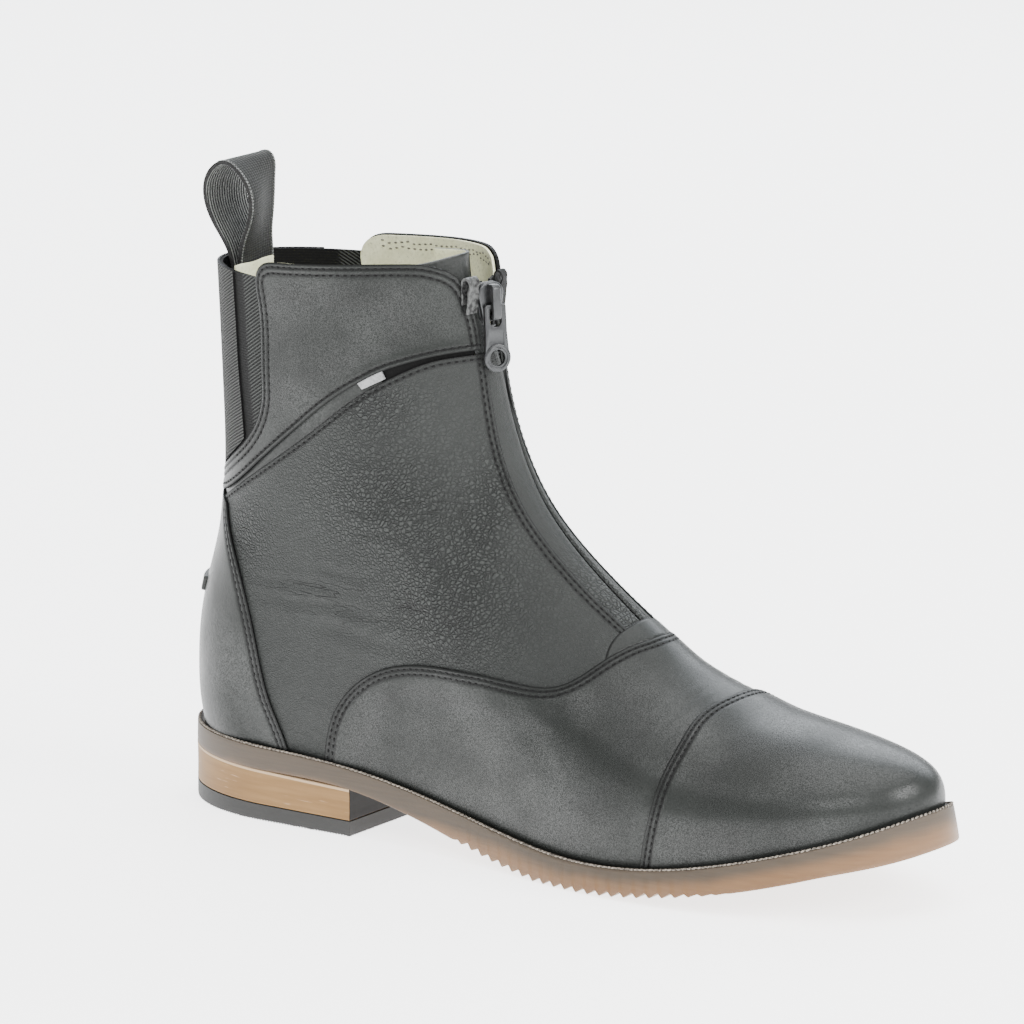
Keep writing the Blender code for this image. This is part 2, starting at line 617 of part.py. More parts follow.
def make_slider(frame, material, collection, cutters):
    body = bmesh.new()
    add_box(body, (-SLIDER_WIDTH / 2, -SLIDER_LENGTH / 2, SLIDER_FACE[0]),
            (SLIDER_WIDTH / 2, SLIDER_LENGTH / 2, SLIDER_FACE[1]))
    slider = new_object("zip_slider", body, material, collection, frame)
    half, leg, foot = BRIDGE_LENGTH / 2, BRIDGE_LEG, SLIDER_FACE[1] - BRIDGE_FOOT
    inner, top = BRIDGE_FACE
    outline = [(-half, foot), (-half, top), (half, top), (half, foot),
               (half - leg, foot), (half - leg, inner), (-half + leg, inner), (-half + leg, foot)]
    bm = bmesh.new()
    face = bm.faces.new([bm.verts.new((-BRIDGE_WIDTH / 2, y, z)) for y, z in outline])
    pushed = bmesh.ops.extrude_face_region(bm, geom=[face])["geom"]
    moved = [v for v in pushed if isinstance(v, bmesh.types.BMVert)]
    bmesh.ops.translate(bm, vec=(BRIDGE_WIDTH, 0, 0), verts=moved)
    bmesh.ops.recalc_face_normals(bm, faces=bm.faces)
    bridge = new_object("bridge_former", bm, None, cutters, frame)
    bridge.hide_render = True
    bridge.display_type = "WIRE"
    join = slider.modifiers.new("bridge", "BOOLEAN")
    join.operation = "UNION"
    join.object = bridge


def add_spline(curve, points):
    line = curve.splines.new("POLY")
    line.points.add(len(points) - 1)
    for spot, (x, y) in zip(line.points, points):
        spot.co = (x * MM, y * MM, 0.0, 1.0)
    line.use_cyclic_u = True


def arc(centre_y, radius, start, end, steps):
    angles = np.radians(np.linspace(start, end, steps))
    return [(radius * math.cos(a), centre_y + radius * math.sin(a)) for a in angles]


def make_pull(frame, material, collection):
    """Flat tab with a window round the bridge; its origin is the middle of its crossbar."""
    bar_z = (SLIDER_FACE[1] + BRIDGE_FACE[0]) / 2
    pivot = frame @ Matrix.Translation(Vector((0.0, TAB_BAR_UP, bar_z)) * MM)
    curve = bpy.data.curves.new("zip_pull_outline", "CURVE")
    curve.dimensions = "2D"
    curve.fill_mode = "BOTH"
    curve.extrude = TAB_THICK / 2 * MM
    half, top = TAB_TOP_WIDTH / 2, TAB_BAR / 2
    shoulder = -(TAB_WINDOW[1] + 2 * TAB_BAR)
    round_end = arc(-TAB_LENGTH, TAB_END_RADIUS, *TAB_ARC, TAB_ARC_STEPS)
    add_spline(curve, [(half, shoulder), (half, top), (-half, top), (-half, shoulder)] + round_end)
    window_half, window_end = TAB_WINDOW[0] / 2, -TAB_BAR / 2 - TAB_WINDOW[1]
    add_spline(curve, [(window_half, -TAB_BAR / 2), (-window_half, -TAB_BAR / 2),
                       (-window_half, window_end), (window_half, window_end)])
    add_spline(curve, arc(-TAB_LENGTH, TAB_HOLE_RADIUS, 0, 360 - 360 / TAB_ARC_STEPS, TAB_ARC_STEPS))
    outline = bpy.data.objects.new("zip_pull_outline", curve)
    collection.objects.link(outline)
    bpy.context.view_layer.update()
    flat = outline.evaluated_get(bpy.context.evaluated_depsgraph_get())
    mesh = bpy.data.meshes.new_from_object(flat)
    bpy.data.objects.remove(outline)
    bm = bmesh.new()
    bm.from_mesh(mesh)
    bpy.data.meshes.remove(mesh)
    bmesh.ops.remove_doubles(bm, verts=bm.verts, dist=0.00001)
    bmesh.ops.recalc_face_normals(bm, faces=bm.faces)
    bmesh.ops.scale(bm, vec=(1 / MM, 1 / MM, 1 / MM), verts=bm.verts)
    new_object("zip_pull", bm, material, collection, pivot)


def main():
    for item in list(bpy.data.objects):
        bpy.data.objects.remove(item, do_unlink=True)
    boot = bpy.data.collections.new("zip_riding_boot")
    cutters = bpy.data.collections.new("cutters")
    for collection in (boot, cutters):
        bpy.context.scene.collection.children.link(collection)
    materials = {
        "leather": make_material("black_leather", (0.035, 0.036, 0.035), 0.38),
        "lining": make_material("cream_lining", (0.62, 0.60, 0.50), 0.75),
        "elastic": make_material("black_elastic", (0.03, 0.03, 0.03), 0.85),
        "webbing": make_material("grey_webbing", (0.06, 0.06, 0.06), 0.85),
        "gum": make_material("gum_rubber", (0.42, 0.27, 0.16), 0.45),
        "welt": make_material("taupe_welt", (0.16, 0.13, 0.11), 0.7),
        "stack": make_material("stacked_heel", (0.50, 0.32, 0.18), 0.55),
        "rubber": make_material("black_rubber", (0.03, 0.03, 0.03), 0.6),
        "metal": make_material("dark_zip_metal", (0.05, 0.05, 0.05), 0.35, 1.0),
        "tape": make_material("zip_tape", (0.02, 0.02, 0.02), 0.8),
    }
    make_sole(materials, boot)
    make_upper(materials["leather"], boot, cutters)
    make_gusset(materials["elastic"], boot, cutters)

    def strap_half(z, side):
        edge = min(float(spline(STRAP_EDGE["z"], STRAP_EDGE["x"], z)), float(notch_edge(z)) - STRAP_MARGIN)
        return max(float(half_width(edge, z, side)), STRAP_TIP_HALF)

    strap_foot = NOTCH["z"][0] + STRAP_MARGIN
    shares = np.linspace(0, 1, STRAP_ROWS) ** STRAP_BUNCH
    strap_heights = strap_foot + (ELASTIC_TOP_Z - strap_foot) * shares
    make_back_patch("back_strap", strap_heights, strap_half, STRAP_COLUMNS, STRAP_DEPTH, STRAP_THICK,
                    materials["webbing"], boot)
    spur_heights = np.linspace(SPUR_Z - SPUR_HEIGHT / 2, SPUR_Z + SPUR_HEIGHT / 2, SPUR_ROWS)
    make_back_patch("spur_rest", spur_heights, lambda z, side: SPUR_HALF, SPUR_COLUMNS, -GAP - SPUR_THICK,
                    SPUR_THICK, materials["leather"], boot)
    tape_depth = WALL + 2 * GAP
    make_front_strip("zip_tape", ZIP_FOOT_Z - 4, ZIP_TOP_Z, TAPE_ROWS, TAPE_HALF, TAPE_COLUMNS,
                     tape_depth, TAPE_THICK, materials["tape"], boot)
    teeth_top_z = SLIDER_RIDGE_Z - SLIDER_LENGTH / 2 + TEETH_HIDDEN
    make_front_strip("zip_teeth", ZIP_FOOT_Z + 1, teeth_top_z, TEETH_ROWS, TEETH_HALF, TEETH_COLUMNS,
                     tape_depth - GAP - TEETH_THICK, TEETH_THICK, materials["metal"], boot)
    make_front_strip("zip_guard", ZIP_FOOT_Z + 6, ZIP_TOP_Z, GUARD_ROWS, GUARD_HALF, GUARD_COLUMNS,
                     tape_depth + TAPE_THICK + GAP, GUARD_THICK, materials["leather"], boot)
    make_loop(materials["webbing"], boot)
    frame = zip_frame()
    make_slider(frame, materials["metal"], boot, cutters)
    make_pull(frame, materials["metal"], boot)


main()
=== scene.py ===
import math

import bpy
import numpy as np
from mathutils import Matrix, Vector
from mathutils.bvhtree import BVHTree


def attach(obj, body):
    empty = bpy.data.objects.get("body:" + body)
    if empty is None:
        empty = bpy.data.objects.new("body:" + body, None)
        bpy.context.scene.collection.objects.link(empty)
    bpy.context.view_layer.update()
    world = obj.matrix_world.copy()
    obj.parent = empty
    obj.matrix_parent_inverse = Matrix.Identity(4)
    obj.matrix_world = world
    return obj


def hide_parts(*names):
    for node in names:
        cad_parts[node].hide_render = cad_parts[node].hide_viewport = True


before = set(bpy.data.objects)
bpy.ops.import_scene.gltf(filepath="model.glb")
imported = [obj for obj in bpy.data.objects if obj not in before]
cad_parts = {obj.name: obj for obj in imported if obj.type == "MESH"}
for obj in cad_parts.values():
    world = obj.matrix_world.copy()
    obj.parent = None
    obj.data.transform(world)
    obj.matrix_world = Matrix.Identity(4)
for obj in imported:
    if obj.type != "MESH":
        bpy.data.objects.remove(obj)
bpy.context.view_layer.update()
print("frame loaded with", len(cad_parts), "nodes")

# Shapes are worked out in millimetres, with x counted from the back of the sole
mm = 0.001
originX = 40.0
outer, inner = -1, 1  # sign of y on the two sides of the foot

# The last: the same lines and sizes that the solid upper has
last = {
    "toeRound": 75.0, "crownShare": 0.74, "crownMax": 58.0, "crownPeak": 0.12,
    "planFade": (50.0, 75.0), "vampX": 225.0, "instepX": 175.0,
    # x, z up the middle of the toe, the vamp, the zip and the shaft
    "ridge": [(281.8, 30.8), (282.0, 36.0), (279.0, 42.6), (270.5, 47.2), (256.0, 50.6), (238.0, 53.6),
              (219.0, 57.0), (203.0, 62.2), (188.0, 69.8), (173.6, 80.6), (159.4, 91.9), (146.2, 103.2),
              (135.2, 115.0), (127.0, 128.5), (121.4, 143.0), (117.8, 159.0), (115.8, 175.0),
              (115.0, 190.0), (114.8, 197.0)],
    # z, x up the middle of the heel
    "back": [(24.0, 3.8), (34.0, 2.4), (48.0, 2.0), (62.0, 2.8), (76.0, 5.4), (90.0, 9.0), (104.0, 11.2),
             (118.0, 11.8), (140.0, 11.0), (168.0, 9.6), (197.0, 8.0)],
    # x, z where the upper meets the welt
    "feather": [(0.0, 26.5), (40.0, 25.0), (80.0, 22.4), (108.0, 18.2), (140.0, 13.0), (172.0, 10.0),
                (200.0, 11.0), (225.0, 14.6), (250.0, 20.4), (270.0, 26.4), (292.0, 34.2)],
    # x, half width to the outer side, to the inner side, middle line
    "plan": [(0.0, 28.5, 27.0, 0.0), (60.0, 28.8, 26.5, 0.0), (105.0, 29.0, 24.0, 0.2),
             (140.0, 34.0, 28.0, 0.9), (178.0, 41.6, 35.0, 3.0), (215.0, 42.8, 37.0, 5.6),
             (250.0, 42.0, 36.0, 7.8), (292.0, 42.0, 35.5, 8.9)],
    # rise over the feather line, half width added, length over which the back rounds off
    "swell": [(0.0, 0.0, 30.0), (12.0, 1.6, 30.0), (26.0, 2.4, 31.0), (50.0, 2.6, 34.0), (80.0, 2.8, 42.0),
              (120.0, 3.6, 50.0), (170.0, 4.6, 54.0)],
}


def column(rows, i):
    return np.array([row[i] for row in rows], float)


def splineOf(knots, values):  # natural cubic through a few values, level beyond its ends
    count, step = len(knots), np.diff(knots)
    matrix, right = np.eye(count), np.zeros(count)
    for i in range(1, count - 1):
        matrix[i, i - 1:i + 2] = step[i - 1], 2 * (step[i - 1] + step[i]), step[i]
        right[i] = 6 * ((values[i + 1] - values[i]) / step[i] - (values[i] - values[i - 1]) / step[i - 1])
    bend = np.linalg.solve(matrix, right)

    def read(at):
        at = np.clip(at, knots[0], knots[-1])
        i = np.clip(np.searchsorted(knots, at, side="right") - 1, 0, count - 2)
        low, high, width = at - knots[i], knots[i + 1] - at, step[i]
        curved = (bend[i] * high ** 3 + bend[i + 1] * low ** 3) / (6 * width)
        return (curved + (values[i] / width - bend[i] * width / 6) * high
                + (values[i + 1] / width - bend[i + 1] * width / 6) * low)
    return read


def tableLine(rows, i=0, j=1):
    return splineOf(column(rows, i), column(rows, j))


def runOf(points):  # length along a line of points, at each of them
    return np.concatenate([[0.0], np.cumsum(np.linalg.norm(np.diff(points, axis=0), axis=1))])


def readAt(at, run, line):  # places of a line at lengths along it
    return np.stack([np.interp(at, run, line[:, i]) for i in range(line.shape[1])], -1)


def unit(vectors):
    return vectors / np.maximum(np.linalg.norm(vectors, axis=-1, keepdims=True), 1e-12)


def lineThrough(places, count=240):  # smooth line through a few places
    places = np.array(places, float)
    run = runOf(places)
    at = np.linspace(0, run[-1], count)
    return np.stack([splineOf(run, places[:, i])(at) for i in range(places.shape[1])], 1)


def softStep(t):
    t = np.clip(t, 0, 1)
    return t * t * (3 - 2 * t)


def quarterRound(t, power=1.0):  # rises as an ellipse does from its end to its middle
    t = np.clip(t, 0, 1)
    return (1 - (1 - t) ** 2) ** (0.5 * power)


ridgeLine = lineThrough(last["ridge"], 1200)
ridgeRun = runOf(ridgeLine)
tip = int(np.argmax(ridgeLine[:, 0]))
tipX = float(ridgeLine[tip, 0])
featherZ = tableLine(last["feather"])
backX = tableLine(last["back"])
middleY = tableLine(last["plan"], 0, 3)
planHalf = {outer: tableLine(last["plan"], 0, 1), inner: tableLine(last["plan"], 0, 2)}
swellAdded = tableLine(last["swell"], 0, 1)
swellRound = tableLine(last["swell"], 0, 2)


def ridgeZ(x):
    return np.interp(x, ridgeLine[tip:, 0][::-1], ridgeLine[tip:, 1][::-1])


def ridgePiece(startX, endX, count=240):  # the ridge from one place to another, toe to shaft
    line = ridgeLine[tip:]
    run = np.interp([-startX, -endX], -line[:, 0], ridgeRun[tip:])
    return readAt(np.linspace(run[0], run[1], count), ridgeRun, ridgeLine)


def halfWidth(x, z, side):  # half width of the upper at a place of its side view
    x, z = np.asarray(x, float), np.asarray(z, float)
    low, high = featherZ(x), ridgeZ(x)
    rise = np.clip(z - low, 0, last["swell"][-1][0])
    heelHalf = planHalf[side](0.0)
    swing = 1 - softStep((z - last["planFade"][0]) / last["planFade"][1])
    body = heelHalf + (planHalf[side](x) - heelHalf) * swing + swellAdded(rise)
    toe = quarterRound((tipX - x) / last["toeRound"])
    heel = quarterRound((x - backX(z)) / swellRound(rise))
    underRidge = x > ridgeLine[-1, 0]
    below = np.where(underRidge, np.maximum(high - z, 1e-9), 1e6)
    behind = np.maximum(np.interp(z, ridgeLine[:, 1], ridgeLine[:, 0]) - x, 1e-9)
    instep = 1 - softStep((x - last["instepX"]) / (last["vampX"] - last["instepX"]))
    depth = 1 / np.sqrt(1 / below ** 2 + instep / behind ** 2)
    tall = np.minimum(last["crownShare"] * np.maximum(high - low, 1), last["crownMax"])
    crown = np.where(underRidge, tall, last["crownMax"])
    return body * toe * heel * quarterRound(depth / crown, 1 + last["crownPeak"] * instep)


def skin(places, side):  # places of the side view, laid on the outside of the last
    x, z = places[..., 0], places[..., 1]
    return np.stack([x, middleY(x) + side * halfWidth(x, z, side), z], -1)


def ridgeAt(run):  # places of the ridge and its direction there
    ahead, back = [readAt(run + step, ridgeRun, ridgeLine) for step in (0.5, -0.5)]
    return readAt(run, ridgeRun, ridgeLine), unit(ahead - back)


def depthFor(y, low, high, side, placeAt):  # how deep the last is y wide, found by halving
    for _ in range(40):
        middle = 0.5 * (low + high)
        place = placeAt(middle)
        narrow = halfWidth(place[..., 0], place[..., 1], side) < y
        low, high = np.where(narrow, middle, low), np.where(narrow, high, middle)
    return 0.5 * (low + high)


def besideRidge(height, y, side):  # places a distance y to one side of the ridge
    height, y = np.broadcast_arrays(np.asarray(height, float), np.asarray(y, float))
    spot, along = ridgeAt(np.interp(height, ridgeLine[:, 1], ridgeRun))
    inward = np.stack([-along[..., 1], along[..., 0]], -1)

    def placeAt(deep):
        return spot + inward * deep[..., None]
    return placeAt(depthFor(y, np.zeros(y.shape), np.full(y.shape, 30.0), side, placeAt))


def besideBack(z, y, side):  # places a distance y to one side of the back line
    z, y = np.broadcast_arrays(np.asarray(z, float), np.asarray(y, float))

    def placeAt(x):
        return np.stack([x, z], -1)
    return placeAt(depthFor(y, backX(z), backX(z) + 45.0, side, placeAt))


# Laying a panel: a patch between four lines of the side view, spread evenly over the last
def evenOn(line, side):  # the same line with its points at even steps over the last
    run = runOf(skin(line, side))
    return readAt(np.linspace(0, run[-1], len(line)), run, line)


def lineAt(line, shares):
    return readAt(shares, np.linspace(0, 1, len(line)), line)


def spacing(length, step, fineEnds=(), fine=0.5, zone=4.5):  # shares of a length, close together at an edge
    at = [0.0]
    while at[-1] < length:
        gap = min([abs(at[-1] - length * end) for end in fineEnds] or [length])
        at.append(at[-1] + float(np.clip(fine + 0.3 * (gap - zone), fine, step)))
    return np.array(at) / at[-1]


def patch(start, end, first, final, side, rows, across):
    start, end = evenOn(start, side), evenOn(end, side)
    first, final = evenOn(first, side), evenOn(final, side)
    v = np.linspace(0, 1, 160)
    u = np.asarray(rows)[:, None, None]
    w = v[None, :, None]
    ruled = (1 - w) * lineAt(start, rows)[:, None] + w * lineAt(end, rows)[:, None]
    sides = (1 - u) * lineAt(first, v)[None] + u * lineAt(final, v)[None]
    corners = (1 - u) * ((1 - w) * start[0] + w * end[0]) + u * ((1 - w) * start[-1] + w * end[-1])
    laid = skin(ruled + sides - corners, side)
    return np.stack([respread(row, across) for row in laid])


def respread(row, shares):  # a row of points again, at shares of its length
    run = runOf(row)
    return readAt(np.asarray(shares) * run[-1], run, row)


def joinHalves(outerHalf, innerHalf):  # two halves that share their first column
    return np.concatenate([outerHalf[:, ::-1], innerHalf[:, 1:]], 1)


# Blender helpers
def deselect():
    if bpy.context.object and bpy.context.object.mode != "OBJECT":
        bpy.ops.object.mode_set(mode="OBJECT")
    bpy.ops.object.select_all(action="DESELECT")


def activate(piece):
    deselect()
    piece.select_set(True)
    bpy.context.view_layer.objects.active = piece


def toWorld(points):
    return (np.asarray(points, float) - (originX, 0, 0)) * mm


def toTables(points):
    return np.asarray(points, float) / mm + (originX, 0, 0)


def placesOf(piece):
    flat = np.zeros(len(piece.data.vertices) * 3)
    piece.data.vertices.foreach_get("co", flat)
    return flat.reshape(-1, 3)


def movePoints(piece, world):
    piece.data.vertices.foreach_set("co", np.asarray(world, float).ravel())
    piece.data.update()


def outwardOf(piece):
    flat = np.zeros(len(piece.data.vertices) * 3, np.float32)
    piece.data.vertex_normals.foreach_get("vector", flat)
    return flat.reshape(-1, 3).astype(float)


def addGrid(name, points):  # a grid primitive, its corners moved to rows of places
    rows, columns = points.shape[:2]
    deselect()
    bpy.ops.mesh.primitive_grid_add(x_subdivisions=columns - 1, y_subdivisions=rows - 1, size=1)
    piece = bpy.context.object
    piece.name = name
    movePoints(piece, toWorld(points.reshape(-1, 3)))
    return piece


mergeGap = 0.00002


def mergePoints(piece, fill=False):  # closes poles and seams, and on request fills what is still open
    activate(piece)
    bpy.ops.object.mode_set(mode="EDIT")
    bpy.ops.mesh.select_all(action="SELECT")
    bpy.ops.mesh.remove_doubles(threshold=mergeGap)
    if fill:
        bpy.ops.mesh.select_all(action="DESELECT")
        bpy.ops.mesh.select_non_manifold()
        bpy.ops.mesh.fill_holes(sides=0)
        bpy.ops.mesh.select_all(action="SELECT")
    bpy.ops.mesh.normals_make_consistent(inside=False)
    bpy.ops.object.mode_set(mode="OBJECT")
    return piece


def mergeAndFace(piece):  # a panel, with its faces turned away from the middle of the boot
    mergePoints(piece)
    places = toTables(placesOf(piece))
    away = np.sign(places[:, 1] - middleY(places[:, 0]))
    if np.sum(outwardOf(piece)[:, 1] * away) < 0:
        piece.data.flip_normals()
    return piece


def useModifier(piece, kind, **settings):
    activate(piece)
    modifier = piece.modifiers.new(kind.lower(), kind)
    for key, value in settings.items():
        setattr(modifier, key, value)
    bpy.ops.object.modifier_apply(modifier=modifier.name)


def treeOf(piece):
    return BVHTree.FromPolygons(toTables(placesOf(piece)).tolist(), [list(f.vertices) for f in piece.data.polygons])


def roundEdges(piece, width, angle, segments=2):
    useModifier(piece, "BEVEL", width=width * mm, segments=segments, limit_method="ANGLE",
                angle_limit=math.radians(angle))


outsides = {}  # the outer face of each panel, for what is sewn to it
panelLeather = {"thick": 1.1, "edge": 0.3}


def thicken(piece, thick=panelLeather["thick"], edge=panelLeather["edge"]):  # a sheet with its cut edges rounded
    outsides[piece.name] = treeOf(piece)
    useModifier(piece, "SOLIDIFY", thickness=thick * mm, offset=-1.0, use_even_offset=False)
    if edge:
        roundEdges(piece, edge, 50)
    smooth(piece)


def smooth(piece, angle=42):
    activate(piece)
    bpy.ops.object.shade_smooth_by_angle(angle=math.radians(angle))


def distanceTo(places, line):  # from each place to the nearest point of a line
    best = np.full(len(places), 1e9)
    for begin in range(0, len(line), 150):
        gaps = places[:, None] - line[None, begin:begin + 150]
        best = np.minimum(best, np.sqrt((gaps ** 2).sum(2)).min(1))
    return best


# how wide the edge rolls, a row of stitches pulls in and their lines of painted shade are, and how dark this painted
# shade gets
sewn = {"roll": 0.9, "row": 0.5, "edgeLine": 0.5, "rowLine": 0.55, "edgePaintedShade": 0.95, "rowPaintedShade": 0.85}
besideCrease = 0.55  # height of the ridges along a crease, as a share of its depth


def bell(distance, width):
    return np.exp(-(distance / width) ** 2)


def edgeHeight(distance, form):  # a raised edge with a trough under each row of stitches
    height = form["lift"] * (1 - softStep(distance / form["fade"]))
    height -= form["roll"] * (1 - softStep(distance / sewn["roll"]))
    for row in form["rows"]:
        height -= form["pull"] * bell(distance - row, sewn["row"])
    return height


def seamShade(distance, form):  # painted shade at the cut edge and along each row of stitches, where the edge and the troughs fall in shade
    shade = sewn["edgePaintedShade"] * bell(distance, sewn["edgeLine"])
    for row in form["rows"]:
        shade = np.maximum(shade, sewn["rowPaintedShade"] * bell(distance - row, sewn["rowLine"]))
    return shade


def setAttribute(piece, name, values):
    piece.data.attributes.new(name, "FLOAT", "POINT").data.foreach_set("value", np.asarray(values, float).ravel())


def sculpt(piece, base, seams, folds=()):  # raises a panel along its seams and presses in its creases
    places = toTables(placesOf(piece))
    height, shade = np.zeros(len(places)) + base, np.zeros(len(places))
    for line, form in seams:
        gap = distanceTo(places, line)
        height += edgeHeight(gap, form)
        shade = np.maximum(shade, seamShade(gap, form))
    # the seam attribute is painted shade along the cut edges and the rows of stitches
    setAttribute(piece, "seam", shade)
    for line, width, depth in folds:
        gap = distanceTo(places, line)
        fade = softStep(1.6 * (1 - np.abs(2 * nearestShare(places, line) - 1)))
        height -= depth * fade * (bell(gap, width) - besideCrease * bell(gap - 2 * width, width))
    movePoints(piece, toWorld(places) + outwardOf(piece) * height[:, None] * mm)


def nearestShare(places, line):  # how far along a line each place lies
    gaps = ((places[:, None] - line[None, ::4]) ** 2).sum(2)
    return gaps.argmin(1) / max(len(line[::4]) - 1, 1)


def keep(piece, node=None, look=None, body="boot"):  # what a piece is made of, stands for and rides on
    if look:
        piece.data.materials.append(look)
    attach(piece, body)
    if node:
        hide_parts(node)


# Materials: shader sums written as sums
class Wire:  # one output of a shader node
    def __init__(self, tree, socket):
        self.tree, self.socket = tree, socket

    def node(self, kind, settings, inputs, out=0):  # any node, fed with numbers or wires
        made = self.tree.nodes.new(kind)
        for key, value in settings.items():
            setattr(made, key, value)
        for key, value in inputs.items():
            if isinstance(value, Wire):
                self.tree.links.new(value.socket, made.inputs[key])
            else:
                made.inputs[key].default_value = value
        return Wire(self.tree, made.outputs[out])

    def math(self, operation, other=0.0):
        return self.node("ShaderNodeMath", {"operation": operation}, {0: self, 1: other})

    def __add__(self, other):
        return self.math("ADD", other)

    def __sub__(self, other):
        return self.math("SUBTRACT", other)

    def __mul__(self, other):
        return self.math("MULTIPLY", other)

    def __rsub__(self, other):
        return self.node("ShaderNodeMath", {"operation": "SUBTRACT"}, {0: other, 1: self})

    __radd__ = __add__
    __rmul__ = __mul__

    def ramp(self, low, high):  # 0 below low, 1 above high, smooth between
        return self.node("ShaderNodeMapRange", {"interpolation_type": "SMOOTHSTEP"},
                         {"Value": self, "From Min": low, "From Max": high})

    def noise(self, scale, detail=2.0, rough=0.5, out=0):
        return self.node("ShaderNodeTexNoise", {},
                         {"Vector": self, "Scale": scale, "Detail": detail, "Roughness": rough}, out)

    def cells(self, scale, feature="F1"):
        return self.node("ShaderNodeTexVoronoi", {"feature": feature}, {"Vector": self, "Scale": scale})

    def stretch(self, x, y, z):
        return self.node("ShaderNodeMapping", {}, {"Vector": self, "Scale": (x, y, z)})

    def part(self, axis):
        return self.node("ShaderNodeSeparateXYZ", {}, {"Vector": self}, out=axis)

    def tint(self, low, high):  # colour from low to high, led by this wire
        return self.node("ShaderNodeMix", {"data_type": "RGBA"}, {0: self, 6: colour(low), 7: colour(high)}, out=2)

    def bump(self, distance, strength):  # height of this wire, in millimetres
        return self.node("ShaderNodeBump", {}, {"Height": self, "Distance": distance * mm, "Strength": strength})

    def attribute(self, name):
        return self.node("ShaderNodeAttribute", {"attribute_name": name}, {}, out="Fac")


def colour(value):
    return value if isinstance(value, Wire) else (*value, 1.0)


def material(name, **fixed):  # a material with its fixed values set, its shader's inputs and its places
    made = bpy.data.materials.new(name)
    made.use_nodes = True
    tree = made.node_tree
    shader = tree.nodes["Principled BSDF"]
    for key, value in fixed.items():
        shader.inputs[key.replace("_", " ")].default_value = value
    places = Wire(tree, tree.nodes.new("ShaderNodeTexCoord").outputs["Object"])

    def feed(**wires):
        for key, wire in wires.items():
            tree.links.new(wire.socket, shader.inputs[key.replace("_", " ")])
    return made, feed, places


def smoothLeather():
    made, feed, p = material("smoothLeather", Specular_IOR_Level=0.16, Coat_Roughness=0.27)
    cloud = p.noise(38, 3.0)
    speck = p.noise(2600, 2.0, 0.6)
    pores = p.cells(1500)
    seamPaintedShade = p.attribute("seam")
    hide = (cloud * 0.6 + speck * 0.4).ramp(0.35, 0.7).tint((0.0125, 0.0139, 0.0128), (0.0200, 0.0220, 0.0204))
    # near black along the seams: painted shade at the cut edges and in the stitch troughs
    feed(Base_Color=seamPaintedShade.tint(hide, (0.0010, 0.0010, 0.0010)),
         Roughness=cloud * 0.08 + speck * 0.22 + 0.30 + seamPaintedShade * 0.25,
         Coat_Weight=speck.ramp(0.38, 0.62) * (cloud.ramp(0.3, 0.7) * 0.38 + 0.24) * (1.0 - seamPaintedShade),
         Normal=(p.noise(420, 3.0, 0.55) * 0.5 + pores * 0.3 + speck * 0.6).bump(0.09, 0.8))
    return made


def pebbledLeather():
    made, feed, p = material("pebbledLeather", Specular_IOR_Level=0.30)
    bent = p.node("ShaderNodeVectorMath", {"operation": "MULTIPLY_ADD"},
                  {0: p.noise(260, out="Color"), 1: (0.0022, 0.0022, 0.0022), 2: p})
    edge = bent.stretch(1, 1, 1.18).cells(680, "DISTANCE_TO_EDGE")
    dome, valley = edge.ramp(0.0, 0.30), 1.0 - edge.ramp(0.01, 0.11)
    fine = bent.cells(1500, "DISTANCE_TO_EDGE").ramp(0.0, 0.3)
    strong, seamPaintedShade = p.attribute("grain"), p.attribute("seam")
    speck = p.noise(2600, 2.0, 0.6)
    cloud = p.noise(30, 3.0)
    # long thin wrinkles, only where the leather bends
    wander = (p.stretch(0.22, 0.22, 1.5).noise(230, 2.0) - 0.5).math("ABSOLUTE")
    wrinkle = (1.0 - wander.ramp(0.004, 0.022)) * p.attribute("wrinkle")
    height = dome * strong + fine * 0.2 + speck * 0.15 - wrinkle * 0.7
    # lighter on the pebble tops: a painted highlight, mixed with random tone from the cloud and speck noise
    shade = (cloud * 0.55 + speck * 0.35 + dome.ramp(0.5, 1.0) * strong * 0.5).ramp(0.30, 1.05)
    hide = shade.tint((0.0130, 0.0145, 0.0134), (0.0330, 0.0362, 0.0338))
    # near black in the valleys between pebbles, in the wrinkles and along the seams: painted shade
    dark = (valley * strong * 0.4).math("MAXIMUM", wrinkle * 0.8).math("MAXIMUM", seamPaintedShade)
    feed(Base_Color=dark.tint(hide, (0.0012, 0.0013, 0.0012)),
         Roughness=0.44 + valley * strong * 0.25 + speck * 0.14 + seamPaintedShade * 0.2,
         Normal=height.bump(0.42, 1.0))
    return made


def creamLining():
    made, feed, p = material("creamLining", Specular_IOR_Level=0.3)
    blot, dust = p.noise(120, 3.0), p.noise(900, 2.0)
    fleck = (p.noise(1100, 2.0, 0.6) * 0.8 + blot * 0.2).ramp(0.56, 0.70) * 0.55
    skinTone = (blot * 0.6 + dust * 0.4).ramp(0.3, 0.75).tint((0.68, 0.68, 0.455), (0.90, 0.90, 0.655))
    feed(Base_Color=fleck.tint(skinTone, (0.30, 0.30, 0.20)),
         Roughness=dust * 0.2 + 0.68, Normal=(dust + p.noise(2200)).bump(0.08, 0.6))
    return made


print("materials ready")

